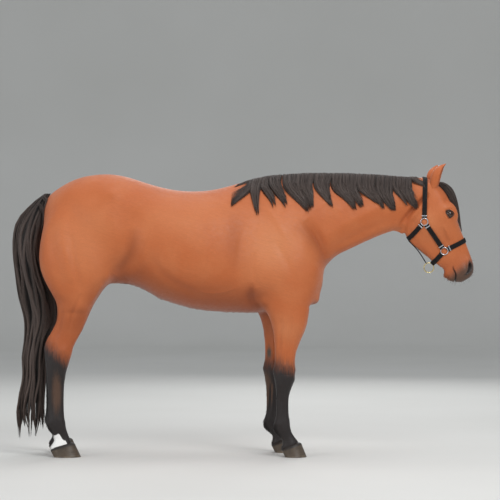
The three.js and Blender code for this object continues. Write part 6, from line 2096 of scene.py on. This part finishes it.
def make_jaw_strap(tree, sizes, materials):
    """The narrower, doubled strap from the throat strap's middle to the lead ring."""
    start = band_round(tree, UPPER_RING, THROAT, sizes.lift)[BAND_POINTS // 2]
    end = in_middle(LEAD_RING) + sizes.lead_ring_radius * np.array([-0.42, 0, 0.91])
    slack = (start + end) / 2 + [0.004, 0, 0.006]
    way = curve_through([start + (end - start) * 0.04, slack, end], 46)
    normals = np.tile(unit(np.array([-0.5, 0, -0.85])), (len(way), 1))
    make_strap("halter_jaw_strap_webbing", way, normals, sizes, materials, "halter_jaw_strap",
               sizes.strap * 0.8, sizes.thickness * 1.7)


def make_rings(tree, sizes, materials):
    """The four side rings, which lie on the cheeks, and the lead ring, which stands lengthwise."""
    for place, which in ((UPPER_RING, "upper"), (LOWER_RING, "lower")):
        for name, side in SIDES.items():
            spot, normal = comes_out(tree, in_middle(place), np.array([[0.0, side, 0.0]]), RING_LIFT)
            make_ring(f"halter_{which}_ring_{name}_wire", spot[0], unit(normal[0]), sizes.ring_radius,
                      sizes.ring_wire, materials["steel"], f"halter_{which}_ring_{name}")
    make_ring("halter_lead_ring_wire", in_middle(LEAD_RING), np.array([0.0, 1.0, 0.0]),
              sizes.lead_ring_radius, sizes.ring_wire, materials["brass"], "halter_lead_ring")


# ---- stage
def make_stage(sizes):
    """Pale floor that curves up into a backdrop, soft lights, and the camera on the horse's right."""
    scene = bpy.context.scene
    world = bpy.data.worlds.new("soft light")
    world.use_nodes = True
    background = world.node_tree.nodes["Background"].inputs
    background["Color"].default_value = (0.93, 0.96, 1.0, 1)
    background["Strength"].default_value = sizes.world
    scene.world = world
    turn = np.linspace(0, math.pi / 2, 40)[1:]
    run = np.concatenate([np.linspace(-16, 12.5, 12), 12.5 + 3 * np.sin(turn), [15.5, 15.5]])
    rise = np.concatenate([np.zeros(12), 3.0 * (1 - np.cos(turn)), [6.0, 12.0]])
    aside = np.linspace(-16, 16, 9)
    points = np.stack(np.broadcast_arrays(aside[None, :], run[:, None], rise[:, None]), axis=-1)
    faces = grid_faces(len(run), len(aside), False)
    floor = bpy.data.objects.new("floor", new_mesh("floor", points, faces))
    scene.collection.objects.link(floor)
    material, paint = new_material("pale floor", 0.85)
    clouds = paint.noise(paint.place(), 0.7, 2.0)
    paint.finish(paint.mix(clouds, srgb(212, 212, 208), srgb(222, 222, 219)))
    floor.data.materials.append(material)
    lights = (
        ("key", (2.6, -5.2, 5.2), 4.0, sizes.key), ("fill", (-5.5, -4.5, 2.6), 4.5, sizes.fill),
        ("top", (-0.4, 0.6, 5.6), 4.5, sizes.top), ("far side", (1.0, 5.5, 3.6), 4.0, sizes.far),
    )
    for name, place, size, power in lights:
        lamp = bpy.data.lights.new(name, "AREA")
        lamp.shape, lamp.size, lamp.energy = "DISK", size, power
        lamp_object = bpy.data.objects.new(name, lamp)
        lamp_object.location = place
        aim = Vector((-0.1, 0, 0.9)) - Vector(place)
        lamp_object.rotation_euler = aim.to_track_quat("-Z", "Y").to_euler()
        scene.collection.objects.link(lamp_object)
    camera = bpy.data.cameras.new("camera")
    camera.lens, camera.clip_end = sizes.lens, 100
    camera_object = bpy.data.objects.new("camera", camera)
    camera_object.location = (sizes.camera_x, -sizes.distance, sizes.camera_height)
    camera_object.rotation_euler = (math.radians(90), 0, 0)
    scene.collection.objects.link(camera_object)
    scene.camera = camera_object
    scene.view_settings.view_transform = "Standard"


# ---- operators
class HORSE_OT_materials(bpy.types.Operator):
    """Make the materials of coat, hair, horn, eyes and halter"""

    bl_idname = "horse.materials"
    bl_label = "Materials"

    def execute(self, context):
        MADE["materials"] = make_materials(context.scene.horse_coat)
        return {"FINISHED"}


class HORSE_OT_skin(bpy.types.Operator):
    """Make the skin over all the flesh, with its folds, openings, ears and markings"""

    bl_idname = "horse.skin"
    bl_label = "Skin"

    def execute(self, context):
        coat = made("materials")["coat"]
        skin = dress(make_skin(context.scene.horse_skin), coat, SKIN_NODES)
        MADE["points"], MADE["normals"] = points_of(skin.data), normals_of(skin.data)
        give_masks(skin.data, coat_masks(made("points"), made("normals")))
        return {"FINISHED"}


class HORSE_OT_tufts(bpy.types.Operator):
    """Make the tufts of the coat, the hair in the ears, the lashes and the whiskers"""

    bl_idname = "horse.tufts"
    bl_label = "Tufts and Lashes"

    def execute(self, context):
        make_tufts(made("points"), made("normals"), made("materials"))
        make_ear_hair(made("materials"))
        make_lashes(made("tree"), made("materials"))
        return {"FINISHED"}


class HORSE_OT_eyes(bpy.types.Operator):
    """Make the eyeballs"""

    bl_idname = "horse.eyes"
    bl_label = "Eyes"

    def execute(self, context):
        make_eyes(made("materials"))
        return {"FINISHED"}


class HORSE_OT_hooves(bpy.types.Operator):
    """Make the four hooves"""

    bl_idname = "horse.hooves"
    bl_label = "Hooves"

    def execute(self, context):
        for leg in HOOVES:
            for name, side in SIDES.items():
                make_hoof(leg, name, side, made("materials"))
        return {"FINISHED"}


class HORSE_OT_mane(bpy.types.Operator):
    """Make the mane and the forelock, strand by strand"""

    bl_idname = "horse.mane"
    bl_label = "Mane and Forelock"

    def execute(self, context):
        make_mane(made("tree"), context.scene.horse_hair, made("materials"))
        make_forelock(made("tree"), context.scene.horse_hair, made("materials"))
        return {"FINISHED"}


class HORSE_OT_tail(bpy.types.Operator):
    """Make the tail, strand by strand"""

    bl_idname = "horse.tail"
    bl_label = "Tail"

    def execute(self, context):
        make_tail(context.scene.horse_hair, made("materials"))
        make_wisps(made("tree"), context.scene.horse_hair, made("materials"))
        return {"FINISHED"}


class HORSE_OT_halter(bpy.types.Operator):
    """Make the halter: webbing straps, their stitching, keepers and rings"""

    bl_idname = "horse.halter"
    bl_label = "Halter"

    def execute(self, context):
        for make in (make_skin_straps, make_chin_strap, make_jaw_strap, make_rings):
            make(made("tree"), context.scene.horse_halter, made("materials"))
        return {"FINISHED"}


class HORSE_OT_stage(bpy.types.Operator):
    """Make the floor, the lights and the camera"""

    bl_idname = "horse.stage"
    bl_label = "Stage"

    def execute(self, context):
        make_stage(context.scene.horse_stage)
        return {"FINISHED"}


STEPS = (HORSE_OT_materials, HORSE_OT_skin, HORSE_OT_eyes, HORSE_OT_hooves, HORSE_OT_tufts, HORSE_OT_mane,
         HORSE_OT_tail, HORSE_OT_halter, HORSE_OT_stage)


class HORSE_PT_panel(bpy.types.Panel):
    """Lists the steps of the horse and the sizes that they use"""

    bl_label = "Bay Horse"
    bl_idname = "HORSE_PT_panel"
    bl_space_type = "VIEW_3D"
    bl_region_type = "UI"
    bl_category = "Horse"

    def draw(self, context):
        column = self.layout.column()
        for step in STEPS:
            column.operator(step.bl_idname)
        for name, group in GROUPS.items():
            column.label(text=group.__name__)
            for item in group.__annotations__:
                column.prop(getattr(context.scene, name), item)


GROUPS = {"horse_skin": SkinSizes, "horse_coat": CoatColours, "horse_hair": HairSizes,
          "horse_halter": HalterSizes, "horse_stage": StageSizes}


def register():
    for item in (*GROUPS.values(), *STEPS, HORSE_PT_panel):
        bpy.utils.register_class(item)
    for name, group in GROUPS.items():
        setattr(bpy.types.Scene, name, PointerProperty(type=group))


def unregister():
    for name in GROUPS:
        delattr(bpy.types.Scene, name)
    for item in reversed((*GROUPS.values(), *STEPS, HORSE_PT_panel)):
        bpy.utils.unregister_class(item)


def main():
    register()
    for step in STEPS:
        area, name = step.bl_idname.split(".")
        getattr(getattr(bpy.ops, area), name)()


if __name__ == "__main__":
    main()
